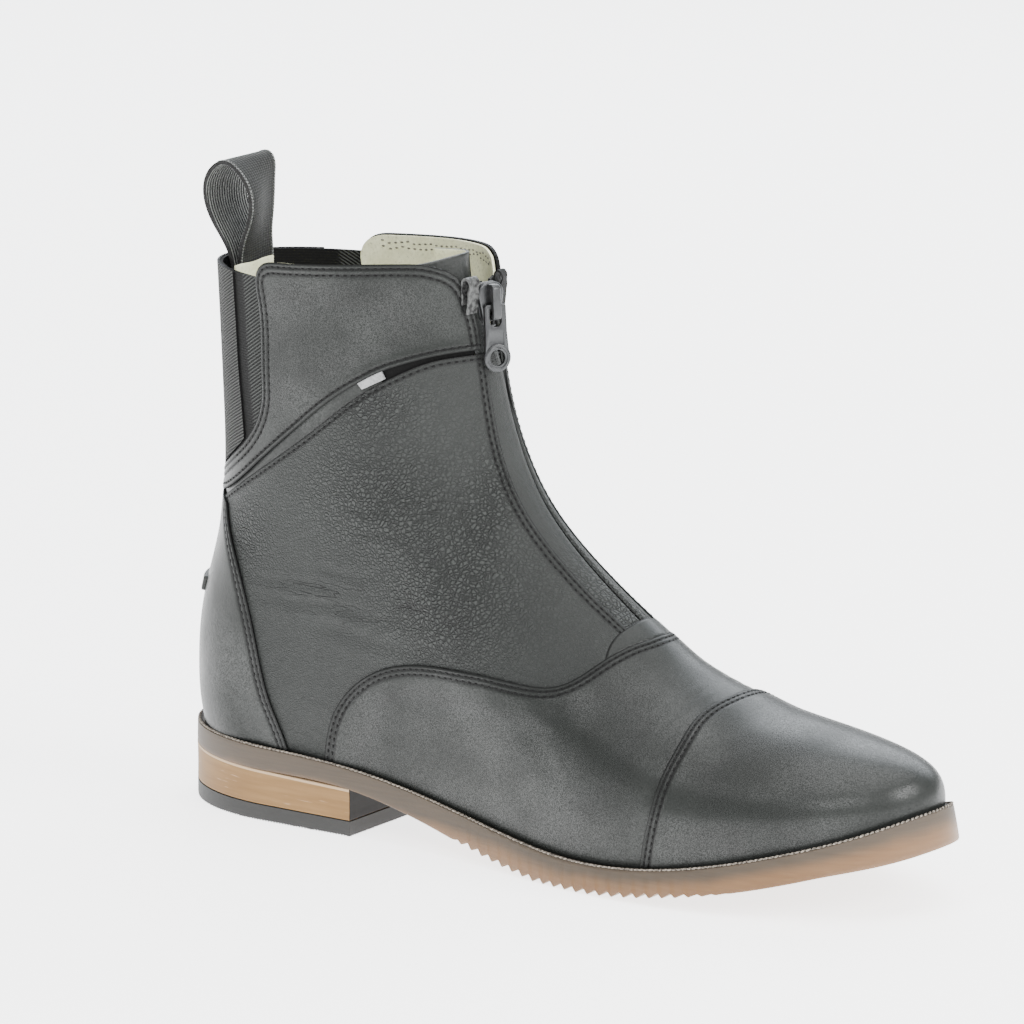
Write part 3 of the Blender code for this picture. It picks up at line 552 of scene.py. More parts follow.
# Seams as lines of the side view
seamPlaces = {
    "cap": [(208.6, float(ridgeZ(208.6))), (207.4, 58.5), (207.2, 52.0), (206.6, 41.7), (205.0, 30.0),
            (202.7, 20.6), (200.4, 10.8)],
    "wing": [(179.8, float(ridgeZ(179.8))), (179.3, 75.3), (178.5, 75.05), (177.3, 74.6), (175.4, 73.4),
             (172.0, 70.4), (168.0, 66.4), (161.3, 62.8), (152.6, 62.2), (137.9, 63.3), (122.9, 63.7),
             (106.8, 62.7), (93.1, 59.1), (84.0, 53.8), (77.8, 48.0), (72.7, 40.4), (69.4, 31.0), (67.6, 23.1)],
    "counter": [(53.3, 24.3), (52.0, 29.2), (47.0, 41.8), (43.3, 55.1), (39.3, 71.6), (33.1, 87.4),
                (26.2, 99.2), (24.0, 104.5)],
    "counterTop": [(11.35, 107.2), (14.0, 107.0), (19.0, 106.0), (24.0, 104.5)],
    "swoop": [(11.4, 105.5), (22.7, 109.3), (42.8, 122.7), (60.9, 137.2), (72.9, 146.8), (83.5, 153.9),
              (90.5, 157.9), (97.2, 160.6), (105.5, 163.2), (112.5, 164.4), (115.3, 164.6)],
    "quarterTop": [(17.0, 104.5), (22.9, 107.7), (42.0, 119.4), (60.8, 132.1), (72.6, 141.2), (84.2, 150.2),
                   (91.6, 154.9), (97.3, 158.2), (105.5, 162.0), (112.6, 163.4), (114.8, 163.7)],
    "quarterLow": [(45.0, 24.7), (60.0, 24.0), (74.0, 23.0), (79.0, 37.5), (88.5, 48.5), (107.5, 56.0),
                   (138.0, 56.5), (153.5, 55.5), (163.5, 55.8), (173.0, 60.0), (181.0, 67.0)],
    "quarterBack": [(45.0, 24.7), (39.0, 42.0), (36.0, 55.0), (32.0, 71.6), (26.0, 87.0), (17.0, 104.5)],
    # the front of the notch, the rounded corner and the top of the collar
    "notch": [(11.85, 112.0), (13.0, 112.6), (21.9, 118.2), (31.6, 125.0), (40.4, 134.0), (44.1, 143.0),
              (44.3, 152.0), (43.1, 177.0), (42.2, 184.0), (43.6, 187.4), (46.6, 189.6), (53.0, 190.7),
              (74.0, 192.2), (95.7, 193.5), (103.0, 193.0), (107.4, 191.3)],
    "collarFront": [(115.3, 164.6), (114.9, 168.4), (113.4, 178.0), (111.4, 186.0), (109.6, 189.3),
                    (107.4, 191.3)],
}
seam = {name: lineThrough(places, 700) for name, places in seamPlaces.items()}

# Half widths by height on the ridge: the stitched edge beside the zip, and the slit of the zip
facingHalf = tableLine([(60.0, 8.0), (78.0, 8.2), (90.0, 8.4), (103.0, 8.0), (118.0, 7.4), (131.0, 6.6),
                        (145.0, 5.4), (163.0, 5.0), (175.0, 6.0), (186.0, 8.6)])
slitHalf = tableLine([(60.0, 0.45), (100.0, 0.45), (125.0, 0.3), (150.0, 0.2), (160.0, 0.7), (168.0, 3.0),
                      (176.0, 4.8), (186.0, 6.4)])
# how far the slit wanders to the inner side above the instep, and the round of the front there
slitShift = tableLine([(60.0, 0.0), (92.0, 0.3), (112.0, 2.2), (128.0, 4.0), (150.0, 4.8), (164.0, 3.2),
                       (176.0, 0.8), (186.0, 0.0)])
frontRound = 28.0


def movedAside(places, aside):  # places beside the ridge, moved round the front to the inner side
    offset = places[:, 1] - middleY(places[:, 0])
    return places + np.stack([(offset ** 2 - (offset + aside) ** 2) / frontRound, aside, 0 * aside], 1)


tuck = 0.4  # how far the panels reach below the feather line


def featherPiece(startX, endX, drop=tuck):
    turn = np.linspace(0, np.pi, 500)
    x = startX + (endX - startX) * (1 - np.cos(turn)) / 2
    return np.stack([x, featherZ(x) - drop], 1)


def straight(a, b, count=60):
    return np.linspace(a, b, count)


def onSkin(line, side, step=0.25):  # a seam over the last, in even steps
    laid = skin(evenOn(line, side), side)
    run = runOf(laid)
    return respread(laid, np.linspace(0, 1, max(int(run[-1] / step), 2)))


def bothSides(line):
    return np.concatenate([onSkin(line, outer), onSkin(line, inner)])


topSeam = {"lift": 0.75, "fade": 16.0, "roll": 0.30, "pull": 0.22, "rows": (1.5, 3.3)}
edgeSeam = {"lift": 0.30, "fade": 7.0, "roll": 0.28, "pull": 0.20, "rows": (1.5, 3.3)}
singleSeam = {"lift": 0.25, "fade": 5.0, "roll": 0.28, "pull": 0.20, "rows": (1.6,)}


def crease(side, places, width, depth):  # a soft trough through a few places of the side view
    return onSkin(lineThrough(places, 200), side), width, depth


def creasesOf(panel, side):
    return [crease(side, *row) for row in panel["creases"]]


def tuckedUnder(piece, line, panel):  # height of a panel that dips under the edge of the next one
    x, _, z = toTables(placesOf(piece)).T
    past = x - np.interp(z, line[::-1, 1], line[::-1, 0])
    return panel["raise"] - panel["dip"] * softStep((past - panel["dipFrom"]) / panel["dipLength"])


def gridOf(panel):  # steps of a panel's grid: length, step, fine ends and how fine
    return spacing(*panel["rows"]), spacing(*panel["across"])


def bothHalves(name, panel, *lines):  # a panel over the ridge or the back, from its four lines
    halves = [patch(*lines, side, *gridOf(panel)) for side in (outer, inner)]
    return mergeAndFace(addGrid(name, joinHalves(*halves)))


toeCap = {"topX": 208.6, "raise": 0.3, "rows": (96, 2.2, (1,)), "across": (56, 1.9, (1,), 1.0, 2)}


def layCap():
    start, final = ridgePiece(tipX, toeCap["topX"]), seam["cap"]
    end = featherPiece(tipX, final[-1, 0])
    piece = bothHalves("toeCap", toeCap, start, end, straight(start[0], end[0]), final)
    sculpt(piece, toeCap["raise"], [(bothSides(seam["cap"]), topSeam)])
    thicken(piece)
    return piece


vampPanel = {
    "ridge": (214.5, 179.8), "raise": 0.05, "dip": 0.6, "dipFrom": 0.3, "dipLength": 2.0,
    "rows": (75, 1.5, (1,)), "across": (100, 1.6, (1,), 1.0, 2),
    # fine wrinkles over the ball of the foot, just behind the cap: x on the ridge, reach, width, depth
    "wrinkles": [(205.0, 1.0, 0.9, 0.05), (201.5, 1.0, 1.1, 0.07), (197.0, 0.9, 1.2, 0.05)],
    "wrinkle": [(0.0, 0.05, 0.0), (0.5, 2.5, 0.0), (2.0, 0.0, 8.0), (4.5, 0.0, 17.0)],  # back, down, down by reach
    "creases": [([(151.0, 52.0), (158.0, 47.0), (165.0, 39.0), (169.0, 30.0)], 3.2, 0.30),
                ([(112.0, 55.0), (104.0, 48.0), (98.0, 39.0), (95.0, 29.0)], 4.0, 0.28)],
}


def layVamp():
    start, final = ridgePiece(*vampPanel["ridge"]), seam["wing"]
    drop = start[0] - seam["cap"][0]  # the hidden edge runs ahead of the cap's seam
    first = seam["cap"] + np.outer(np.linspace(1, 0, len(seam["cap"])), (0.0, drop[1])) + (drop[0], 0.0)
    first[-1, 1] = featherZ(first[-1, 0]) - tuck
    piece = bothHalves("vamp", vampPanel, start, featherPiece(first[-1, 0], final[-1, 0]), first, final)
    folds = []
    for side in (outer, inner):
        for x, reach, width, depth in vampPanel["wrinkles"]:
            top = float(ridgeZ(x))
            places = [(x - back, top - down - byReach * reach) for back, down, byReach in vampPanel["wrinkle"]]
            folds.append(crease(side, places, width, depth))
        folds += creasesOf(vampPanel, side)
    sculpt(piece, tuckedUnder(piece, seam["cap"], vampPanel), [(bothSides(seam["wing"]), topSeam)], folds)
    thicken(piece)
    return piece


counterPanel = {"backX": 3.0, "topZ": 107.2, "raise": 0.25, "rows": (85, 1.8, (1,)), "across": (62, 1.6, (1,))}


def layCounter():
    z = np.linspace(float(featherZ(counterPanel["backX"])) - tuck, counterPanel["topZ"], 400)
    start, end, final = np.stack([backX(z), z], 1), seam["counter"], seam["counterTop"]
    first = featherPiece(start[0, 0], end[0, 0])
    first[0], first[-1], start[-1] = start[0], end[0], final[0]
    piece = bothHalves("counter", counterPanel, start, end, first, final)
    sculpt(piece, counterPanel["raise"], [(bothSides(seam["counter"]), topSeam)])
    thicken(piece)
    return piece


quarterPanel = {
    "zipZ": (70.0, 163.4), "rows": (120, 1.3, (1,)), "across": (95, 1.3, (1,)),
    # soft folds where the ankle bends, low at the back and under the swoop
    "creases": [([(33.0, 85.0), (48.0, 82.6), (66.0, 83.6), (84.0, 81.0)], 1.6, 0.26),
                ([(36.0, 78.6), (52.0, 77.0), (72.0, 77.6), (96.0, 73.6)], 2.0, 0.30),
                ([(62.0, 91.0), (78.0, 89.0), (98.0, 91.5)], 1.5, 0.20),
                ([(74.0, 113.0), (88.0, 111.0), (101.0, 112.6)], 1.4, 0.24),
                ([(78.0, 106.0), (92.0, 104.0), (106.0, 106.4)], 1.4, 0.18),
                ([(54.0, 71.0), (76.0, 70.0), (100.0, 67.4), (124.0, 70.0)], 2.4, 0.26),
                ([(128.0, 92.0), (138.0, 85.0), (150.0, 80.0), (162.0, 77.0)], 3.2, 0.34),
                ([(112.0, 104.0), (122.0, 95.0), (136.0, 88.0)], 3.6, 0.30)],
    # where pebbles and wrinkles stand out: centre and spread in the side view, and strength
    "pebbles": [((118.0, 84.0), (19.0, 17.0), 1.0), ((92.0, 116.0), (21.0, 15.0), 0.9),
                ((87.0, 147.0), (13.0, 7.0), 0.8), ((125.0, 116.0), (5.0, 20.0), 0.7),
                ((36.0, 97.0), (8.0, 12.0), 0.45)],
    "wrinkles": [((75.0, 82.6), (19.0, 3.0), 1.0), ((104.0, 83.0), (11.0, 3.0), 0.9),
                 ((109.0, 115.5), (9.0, 3.5), 1.0), ((34.0, 95.0), (6.0, 6.0), 0.7),
                 ((80.0, 75.0), (22.0, 4.0), 0.45), ((128.0, 110.0), (6.0, 14.0), 0.5)],
    "leastPebbles": 0.12,
}


def blots(piece, table):
    x, _, z = toTables(placesOf(piece)).T
    return sum(strength * np.exp(-(((x - a) / c) ** 2 + ((z - b) / d) ** 2) * 0.7)
               for (a, b), (c, d), strength in table)


def layQuarter(side, name):
    z = np.linspace(*quarterPanel["zipZ"], 300)
    final = besideRidge(z, facingHalf(z), side)
    start, end = seam["quarterLow"].copy(), seam["quarterTop"].copy()
    blendIn = np.linspace(0, 1, len(start))[:, None] ** 8  # bends the last of both lines to meet the zip's edge
    start += (final[0] - start[-1]) * blendIn
    end += (final[-1] - end[-1]) * blendIn
    piece = addGrid(name, patch(start, end, seam["quarterBack"], final, side, *gridOf(quarterPanel)))
    mergeAndFace(piece)
    front, top = onSkin(final, side), onSkin(end, side)
    sculpt(piece, 0.0, [(front, edgeSeam), (top, singleSeam)], creasesOf(quarterPanel, side))
    grain = quarterPanel["leastPebbles"] + blots(piece, quarterPanel["pebbles"])
    setAttribute(piece, "grain", np.clip(grain, 0, 1))
    setAttribute(piece, "wrinkle", np.clip(blots(piece, quarterPanel["wrinkles"]), 0, 1))
    thicken(piece)
    return piece, front, top


collarPanel = {
    "raise": 0.4, "rows": (190, 1.6, (1,)), "across": (55, 1.6, (0, 1)),
    "low": {**singleSeam, "lift": 0.35}, "high": {**edgeSeam, "rows": (1.6, 3.7), "lift": 0.15},
    "creases": [([(64.0, 150.0), (70.0, 163.0), (72.0, 178.0), (70.0, 190.0)], 5.0, 0.30),
                ([(92.0, 163.0), (96.0, 174.0), (96.0, 190.0)], 5.0, 0.25)],
}


def layCollar():
    halves, folds = [], []
    for side in (outer, inner):
        start, end, final = seam["swoop"].copy(), seam["notch"], seam["collarFront"]
        start[0, 0] = backX(start[0, 1])
        halves.append(patch(start, end, straight(start[0], end[0]), final, side, *gridOf(collarPanel)))
        folds += creasesOf(collarPanel, side)
    piece = mergeAndFace(addGrid("collar", np.concatenate([halves[0][::-1], halves[1][1:]])))
    high = np.concatenate([bothSides(seam["notch"]), bothSides(seam["collarFront"])])
    sculpt(piece, collarPanel["raise"],
           [(bothSides(seam["swoop"]), collarPanel["low"]), (high, collarPanel["high"])], folds)
    thicken(piece)
    return piece


stripPanel = {"endX": 90.6, "under": 3.4, "raise": -0.55, "thick": 0.8, "rows": (135, 1.8), "across": (14, 1.2)}


def layStrip(side, name):  # smooth strip that shows between the quarter and the collar, as far as the pocket
    start, end = [line[line[:, 0] < stripPanel["endX"]] for line in (seam["quarterTop"], seam["swoop"])]
    start, end = start - (0.0, stripPanel["under"]), end + (0.0, stripPanel["under"])
    for line in (start, end):
        line[:, 0] = np.maximum(line[:, 0], backX(line[:, 1]))
    piece = addGrid(name, patch(start, end, straight(start[0], end[0]), straight(start[-1], end[-1]), side,
                                *gridOf(stripPanel)))
    mergeAndFace(piece)
    sculpt(piece, stripPanel["raise"], [])
    thicken(piece, stripPanel["thick"], edge=0.0)
    return piece


facingPanel = {
    "z": (70.0, 184.5), "across": (12, 1.0, (0,), 0.4, 1.2), "under": 3.2, "raise": -0.4,
    "thick": 0.9, "edge": 0.25,
    "roll": (0.7, 0.7),  # depth and width at the slit
    "line": (3.0, 0.14, 0.35),  # a fine line along its middle: place, depth and width
    "grain": 0.75, "grainTop": {outer: 106.0, inner: 130.0}, "grainFade": 22.0,
}


def layFacing(side, name):  # strip beside the zip, under the stitched edge of the quarter
    z = np.linspace(*facingPanel["z"], 90)
    share = spacing(*facingPanel["across"])

    def reach(z):  # from the slit to the hidden edge
        return facingHalf(z) + facingPanel["under"] - slitHalf(z)
    half = slitHalf(z)[:, None] + reach(z)[:, None] * share
    places = besideRidge(z[:, None], half, side)
    piece = mergeAndFace(addGrid(name, skin(places, side)))
    places = toTables(placesOf(piece))
    gap = np.abs(places[:, 1] - middleY(places[:, 0])) - slitHalf(places[:, 2])
    (rolled, rollWidth), (at, depth, width) = facingPanel["roll"], facingPanel["line"]
    height = facingPanel["raise"] - rolled * bell(gap, rollWidth) - depth * bell(gap - at, width)
    aside = slitShift(places[:, 2]) * (1 - np.clip(gap / reach(places[:, 2]), 0, 1))
    movePoints(piece, toWorld(movedAside(places, aside)) + outwardOf(piece) * height[:, None] * mm)
    top, fade = facingPanel["grainTop"][side], facingPanel["grainFade"]
    setAttribute(piece, "grain", facingPanel["grain"] * softStep(top / fade - places[:, 2] / fade))
    thicken(piece, facingPanel["thick"], facingPanel["edge"])
    return piece


zipTab = {
    "ridge": (185.5, 173.6), "raise": 0.45, "dip": 1.05, "dipFrom": -0.3, "dipLength": 1.6,
    "rows": (22, 1.0, (1,)), "across": (24, 0.9, (1,)),
    "edge": {"lift": 0.0, "fade": 5.0, "roll": 0.3, "pull": 0.0, "rows": ()},
    "top": [(172.9, 79.3), (172.1, 78.0), (171.7, 76.4), (171.7, 74.4), (172.4, 71.4)],
    "low": [(176.0, 62.6), (174.8, 65.5), (173.6, 68.4), (172.4, 71.4)],
    "front": [(185.2, 70.6), (183.0, 67.0), (179.5, 64.0), (176.0, 62.6)],
}


def layTab():  # smooth tab over the foot of the zip, tucked under the vamp
    start, end = ridgePiece(*zipTab["ridge"]), lineThrough(zipTab["low"], 200)
    final = lineThrough([tuple(start[-1])] + zipTab["top"], 300)
    first = lineThrough([tuple(start[0])] + zipTab["front"], 300)
    piece = bothHalves("zipTab", zipTab, start, end, first, final)
    sculpt(piece, tuckedUnder(piece, seam["wing"], zipTab), [(bothSides(final), zipTab["edge"])])
    thicken(piece)
    return piece


sideNames = {outer: "Outer", inner: "Inner"}
cap, vamp, counter, collar, tab = layCap(), layVamp(), layCounter(), layCollar(), layTab()
quarters, facings, strips = {}, {}, {}
for side, name in sideNames.items():
    quarters[side] = layQuarter(side, "quarter" + name)
    facings[side] = layFacing(side, "facing" + name)
    strips[side] = layStrip(side, "strip" + name)
leather, pebbled, cream = smoothLeather(), pebbledLeather(), creamLining()
smoothPanels = [cap, vamp, counter, collar, tab, *strips.values()]
pebbledPanels = [quarter for quarter, _, _ in quarters.values()] + list(facings.values())
for panels, look in ((smoothPanels, leather), (pebbledPanels, pebbled)):
    for piece in panels:
        keep(piece, "upper", look)
print("upper laid in", len(smoothPanels + pebbledPanels), "panels")

# Stitches: one small thread bead, repeated along the seams and joined into one mesh for each panel
thread = {
    "pitch": 2.6, "half": (0.74, 0.36, 0.26), "sink": 0.02, "ahead": 0.4,
    # how far the rows lie from an edge
    "pair": (1.4, 3.2), "collar": (1.6, 3.8), "swoop": 1.7, "zip": (1.5, 3.4), "quarterTop": 1.6,
    "lining": (1.9, 4.1),
    "notchFrom": 120,  # the collar's rows start above the foot of the notch
    # a place inside each panel, on which the rows lie
    "inside": {"cap": (250.0, 40.0, 30.0), "vamp": (140.0, 35.0, 30.0), "counter": (15.0, 25.0, 60.0),
               "collar": (75.0, 35.0, 176.0), "quarter": (90.0, 33.0, 95.0)},
}


def inside(name, side):
    x, y, z = thread["inside"][name]
    return x, side * y, z


def snap(tree, points):  # nearest places and normals of a surface
    found = [tree.find_nearest(point) for point in points]
    return np.array([hit[0] for hit in found]), np.array([hit[1] for hit in found])


def besideEdge(line, tree, toward, distance):  # a row inside a panel, at a distance from its edge
    line = line[::2]
    along = unit(np.gradient(line, axis=0))
    _, out = snap(tree, line)
    inward = unit(np.cross(out, along))
    away = np.sign(np.sum(inward * (np.asarray(toward) - line), 1))
    inward *= np.sign(np.sum(away))
    return snap(tree, line + inward * distance)[0]


def stitchSpots(row, lead, tail):  # places along a row and the places just ahead of them
    run = runOf(row)
    at = np.arange(lead, run[-1] - tail, thread["pitch"])
    return readAt(at, run, row), readAt(at + thread["ahead"], run, row)


def beads(name, places, along, out, half, segments=8, rings=5):  # many small beads as one mesh
    deselect()
    bpy.ops.mesh.primitive_uv_sphere_add(segments=segments, ring_count=rings, radius=1.0)
    piece = bpy.context.object
    piece.name = name
    shape = placesOf(piece)
    useModifier(piece, "ARRAY", count=len(places), use_relative_offset=False, use_constant_offset=True,
                constant_offset_displace=(3.0, 0.0, 0.0))
    across = unit(np.cross(out, along))
    world = (places[:, None] + shape[None, :, 0, None] * half[0] * along[:, None]
             + shape[None, :, 1, None] * half[1] * across[:, None]
             + shape[None, :, 2, None] * half[2] * out[:, None])
    movePoints(piece, toWorld(world.reshape(-1, 3)))
    smooth(piece, 80)
    return piece


def sew(name, panel, rows):  # rows: edge line, a place inside the panel, distance from the edge
    tree = outsides[panel.name]
    places, along, out = [], [], []
    for line, toward, distance in rows:
        row = besideEdge(line, tree, toward, distance)
        spots, ahead = stitchSpots(row, thread["pitch"] * 0.7, thread["pitch"] * 0.4)
        spots, normals = snap(tree, spots)
        places.append(spots - normals * thread["sink"])
        along.append(unit(ahead - spots))
        out.append(normals)
    piece = beads(name, np.concatenate(places), np.concatenate(along), np.concatenate(out), thread["half"])
    keep(piece, look=threadBlack)


def threadMaterial():
    made, feed, p = material("blackThread", Specular_IOR_Level=0.15)
    twist = p.noise(3000, 2.0)
    feed(Base_Color=twist.tint((0.0015, 0.0015, 0.0015), (0.006, 0.006, 0.006)), Roughness=twist * 0.2 + 0.5)
    return made


threadBlack = threadMaterial()
for name, panel, edge in (("cap", cap, "cap"), ("vamp", vamp, "wing"), ("counter", counter, "counter")):
    sew(name + "Stitches", panel, [(onSkin(seam[edge], side), inside(name, side), distance)
                                   for side in (outer, inner) for distance in thread["pair"]])
collarRows = []
for side in (outer, inner):
    toward = inside("collar", side)
    for distance in thread["collar"]:
        collarRows.append((onSkin(seam["notch"], side)[thread["notchFrom"]:], toward, distance))
        collarRows.append((onSkin(seam["collarFront"], side), toward, distance))
    collarRows.append((onSkin(seam["swoop"], side), toward, thread["swoop"]))
sew("collarStitches", collar, collarRows)
for side, name in sideNames.items():
    quarter, front, top = quarters[side]
    rows = [(front, thread["zip"][0]), (front, thread["zip"][1]), (top, thread["quarterTop"])]
    sew("quarterStitches" + name, quarter, [(line, inside("quarter", side), distance) for line, distance in rows])
print("seams sewn")


# Lining, elastic, strap and pull loop
def sunk(piece, depth):
    movePoints(piece, toWorld(toTables(placesOf(piece))) - outwardOf(piece) * depth * mm)


lining = {
    "waist": 150.0, "foot": (70.5, 26.0), "notchFoot": 112.0, "notchEnd": 430, "top": 184.0, "below": 0.5,
    "zipEdge": 8.6, "zipFoot": (70.0, 22.0), "ridgeX": 187.5, "toe": 0.5,
    "front": ((150.0, 162.0, 181.0), (8.6, 7.4, 7.6)), "frontTop": (110.8, 186.5), "sideTop": 183.5,
    "footGrid": ((200, 4.0), (200, 3.0)), "shaftGrid": ((45, 1.6, (1,)), (120, 1.8, (0, 1))),
    "sink": 1.3, "thick": 0.8,
}


def layLining():
    halves = []
    waist, notch = lining["waist"], seam["notch"][:lining["notchEnd"]]
    z = np.linspace(waist, lining["foot"][1], 300)
    backEdge = np.stack([np.where(z > lining["notchFoot"], np.interp(z, notch[:, 1], notch[:, 0]), backX(z)), z], 1)
    top = seam["notch"][::-1]
    top = top[: int(np.argmin(np.abs(top[:, 1] - lining["top"]) + (top[:, 0] > 60) * 99))] - (0.0, lining["below"])
    for side in (outer, inner):
        zipZ = np.linspace(waist, lining["foot"][0], 200)
        foot, fade = lining["zipFoot"]
        zipEdge = besideRidge(zipZ, lining["zipEdge"] * softStep((zipZ - foot) / fade) + 0.02, side)
        zipEdge = np.concatenate([zipEdge, ridgePiece(lining["ridgeX"], tipX - lining["toe"])])
        low = featherPiece(tipX - lining["toe"], backEdge[-1, 0], 0.0)
        footRows = patch(straight(zipEdge[0], backEdge[0]), low, zipEdge, backEdge, side,
                         *[spacing(*steps) for steps in lining["footGrid"]])
        zipZ = np.linspace(waist, lining["front"][0][-1], 200)
        frontEdge = besideRidge(zipZ, np.interp(zipZ, *lining["front"]), side)
        corner = lineThrough([tuple(frontEdge[-1]), lining["frontTop"], tuple(top[0])], 60)
        frontEdge = np.concatenate([frontEdge, corner])
        z = np.linspace(waist, lining["sideTop"], 100)
        sideEdge = np.stack([np.interp(z, notch[:, 1], notch[:, 0]), z], 1)
        sideEdge[-1] = top[-1]
        shaftRows = patch(straight(frontEdge[0], sideEdge[0]), top, frontEdge, sideEdge, side,
                          *[spacing(*steps) for steps in lining["shaftGrid"]])
        for name, rows in (("liningFoot", footRows), ("liningShaft", shaftRows)):
            half = mergeAndFace(addGrid(name + sideNames[side], rows))
            sunk(half, lining["sink"])
            thicken(half, lining["thick"], edge=0.0)
            halves.append(half)
    return halves


linings = layLining()
for piece in linings:
    keep(piece, "upper", cream)
print("lining laid")


def ribbed(name, tones, pitch, tilt, strength):  # ribs on a woven strip, in its own flat places
    made, feed, p = material(name, Specular_IOR_Level=0.2)
    flat = p.node("ShaderNodeUVMap", {"uv_map": "flat"}, {})
    across, along = flat.part(0), flat.part(1)
    fuzz = p.noise(1500, 3.0)
    wave = ((across + along * tilt + fuzz * 0.0004) * (2 * math.pi / (pitch * mm))).math("SINE") * 0.5 + 0.5
    cross = (along * (2 * math.pi / (0.9 * mm))).math("SINE") * 0.5 + 0.5
    ribs = wave * p.attribute("ribs") + (1.0 - p.attribute("ribs")) * 0.10
    # the colour follows the ribs: lighter crests are a painted highlight, darker grooves and the darker plain parts
    # are painted shade
    feed(Base_Color=(ribs * 0.8 + cross * 0.08 + fuzz * 0.3).ramp(0.2, 1.05).tint(*tones),
         Roughness=fuzz * 0.2 + 0.68, Normal=(ribs + cross * 0.15 + fuzz * 0.3).bump(0.32, strength))
    return made


def flatPlaces(piece, u, v):  # UV map with the strip's own size in metres, u across and v along
    layer = piece.data.uv_layers.active or piece.data.uv_layers.new(name="flat")
    layer.name = "flat"
    corner = np.zeros(len(piece.data.loops), np.int32)
    piece.data.loops.foreach_get("vertex_index", corner)
    layer.data.foreach_set("uv", np.stack([u.ravel()[corner], v.ravel()[corner]], 1).ravel() * mm)


elastic = ribbed("blackElastic", ((0.004, 0.004, 0.004), (0.052, 0.055, 0.052)), 2.1, 1.73, 1.0)
strapCloth = ribbed("blackStrap", ((0.006, 0.006, 0.006), (0.062, 0.064, 0.061)), 2.3, 2.2, 0.9)
webbing = ribbed("greyWebbing", ((0.008, 0.0083, 0.008), (0.24, 0.246, 0.236)), 1.5, 0.10, 1.0)
notchX = tableLine([(z, x) for x, z in seamPlaces["notch"][:9]])
strapEdge = tableLine([(112.0, 35.6), (135.0, 33.6), (151.0, 31.6), (168.0, 30.4), (184.5, 29.2)])


def backSheet(z, edge, columns):  # rows round the back from one side to the other, and their flat places
    turn = 1 - np.cos(np.linspace(0, np.pi / 2, 26))
    rowX = backX(z)[:, None] + (edge - backX(z))[:, None] * turn
    places = np.stack([rowX, np.repeat(z[:, None], len(turn), 1)], -1)
    rows = joinHalves(skin(places, outer), skin(places, inner))
    laid = np.stack([respread(row, np.linspace(0, 1, columns)) for row in rows])
    width = np.array([runOf(row)[-1] for row in rows])
    u = width[:, None] * (np.linspace(0, 1, columns) - 0.5)
    return laid, u, np.repeat(z[:, None], columns, 1)


elasticPanel = {"z": (112.3, 184.0), "under": 2.5, "underFrom": 113, "underFade": 12, "plain": 4.0, "plainFade": 2.5,
                "sink": 0.55, "thick": 1.2}


def layGusset():
    z = np.linspace(*elasticPanel["z"], 60)
    under = elasticPanel["under"] * softStep((z - elasticPanel["underFrom"]) / elasticPanel["underFade"])
    laid, u, v = backSheet(z, notchX(z) + under, 81)
    piece = addGrid("elasticGusset", laid)
    flatPlaces(piece, u, v)
    # smooth beside the strap, ribbed towards the edge of the notch; the smooth part is also painted darker, as
    # painted shade beside the strap
    beside = laid[..., 0] - strapEdge(z)[:, None] - elasticPanel["plain"]
    setAttribute(piece, "ribs", softStep(beside / elasticPanel["plainFade"]))
    mergeAndFace(piece)
    sunk(piece, elasticPanel["sink"])
    thicken(piece, elasticPanel["thick"], edge=0.0)
    piece.data.materials.append(elastic)
    return piece, u, v


strapForm = {"foot": 115.0, "tall": 69.3, "inNotch": 1.5, "raise": 0.2, "thick": 0.9}


def layStrap():
    z = strapForm["foot"] + strapForm["tall"] * np.linspace(0, 1, 60) ** 1.3
    laid, u, v = backSheet(z, np.minimum(strapEdge(z), notchX(z) - strapForm["inNotch"]), 61)
    piece = addGrid("backStrap", laid)
    flatPlaces(piece, u, v)
    setAttribute(piece, "ribs", np.ones(u.shape))
    mergeAndFace(piece)
    movePoints(piece, placesOf(piece) + outwardOf(piece) * strapForm["raise"] * mm)
    # the strap's rim takes the thread's near black, darker than its faces: painted shade along the strap's edge
    for look in (strapCloth, threadBlack):
        piece.data.materials.append(look)
    useModifier(piece, "SOLIDIFY", thickness=strapForm["thick"] * mm, offset=-1.0, material_offset_rim=1)
    smooth(piece)
    return piece, u, v


loop = {
    "path": [(20.2, 172.0), (20.2, 181.0), (21.2, 190.0), (24.0, 198.0), (24.6, 206.0), (20.8, 213.6),
             (14.4, 217.2), (8.8, 213.4), (7.2, 205.6), (10.8, 196.4), (15.8, 188.6), (18.1, 181.0), (18.1, 172.0)],
    "width": 25.0, "thick": 1.3, "yaw": math.radians(6), "pivotX": 20.2,
    "flat": 6.0,  # how much less the far edge bulges to the front, and where along the path
    "bulge": [(0.0, 0.35), (0.14, 0.45), (0.28, 1.0), (0.38, 0.75), (0.46, -0.05), (0.52, -0.3), (0.62, -0.1),
              (0.8, 0.2), (1.0, 0.35)],
    "ribsFrom": 0.46, "plainRibs": 0.12,  # plain cloth in front, ribbed behind; the plain front is also painted much darker, as painted shade
    # the woven edges: short threads that cross to and fro over both edges of the front half
    "selvedge": {"from": 1.0, "share": 0.52, "pitch": 1.05, "lean": 0.75, "stand": (0.75, 0.55), "face": 0.62,
                 "half": (0.85, 0.26, 0.2)},
}


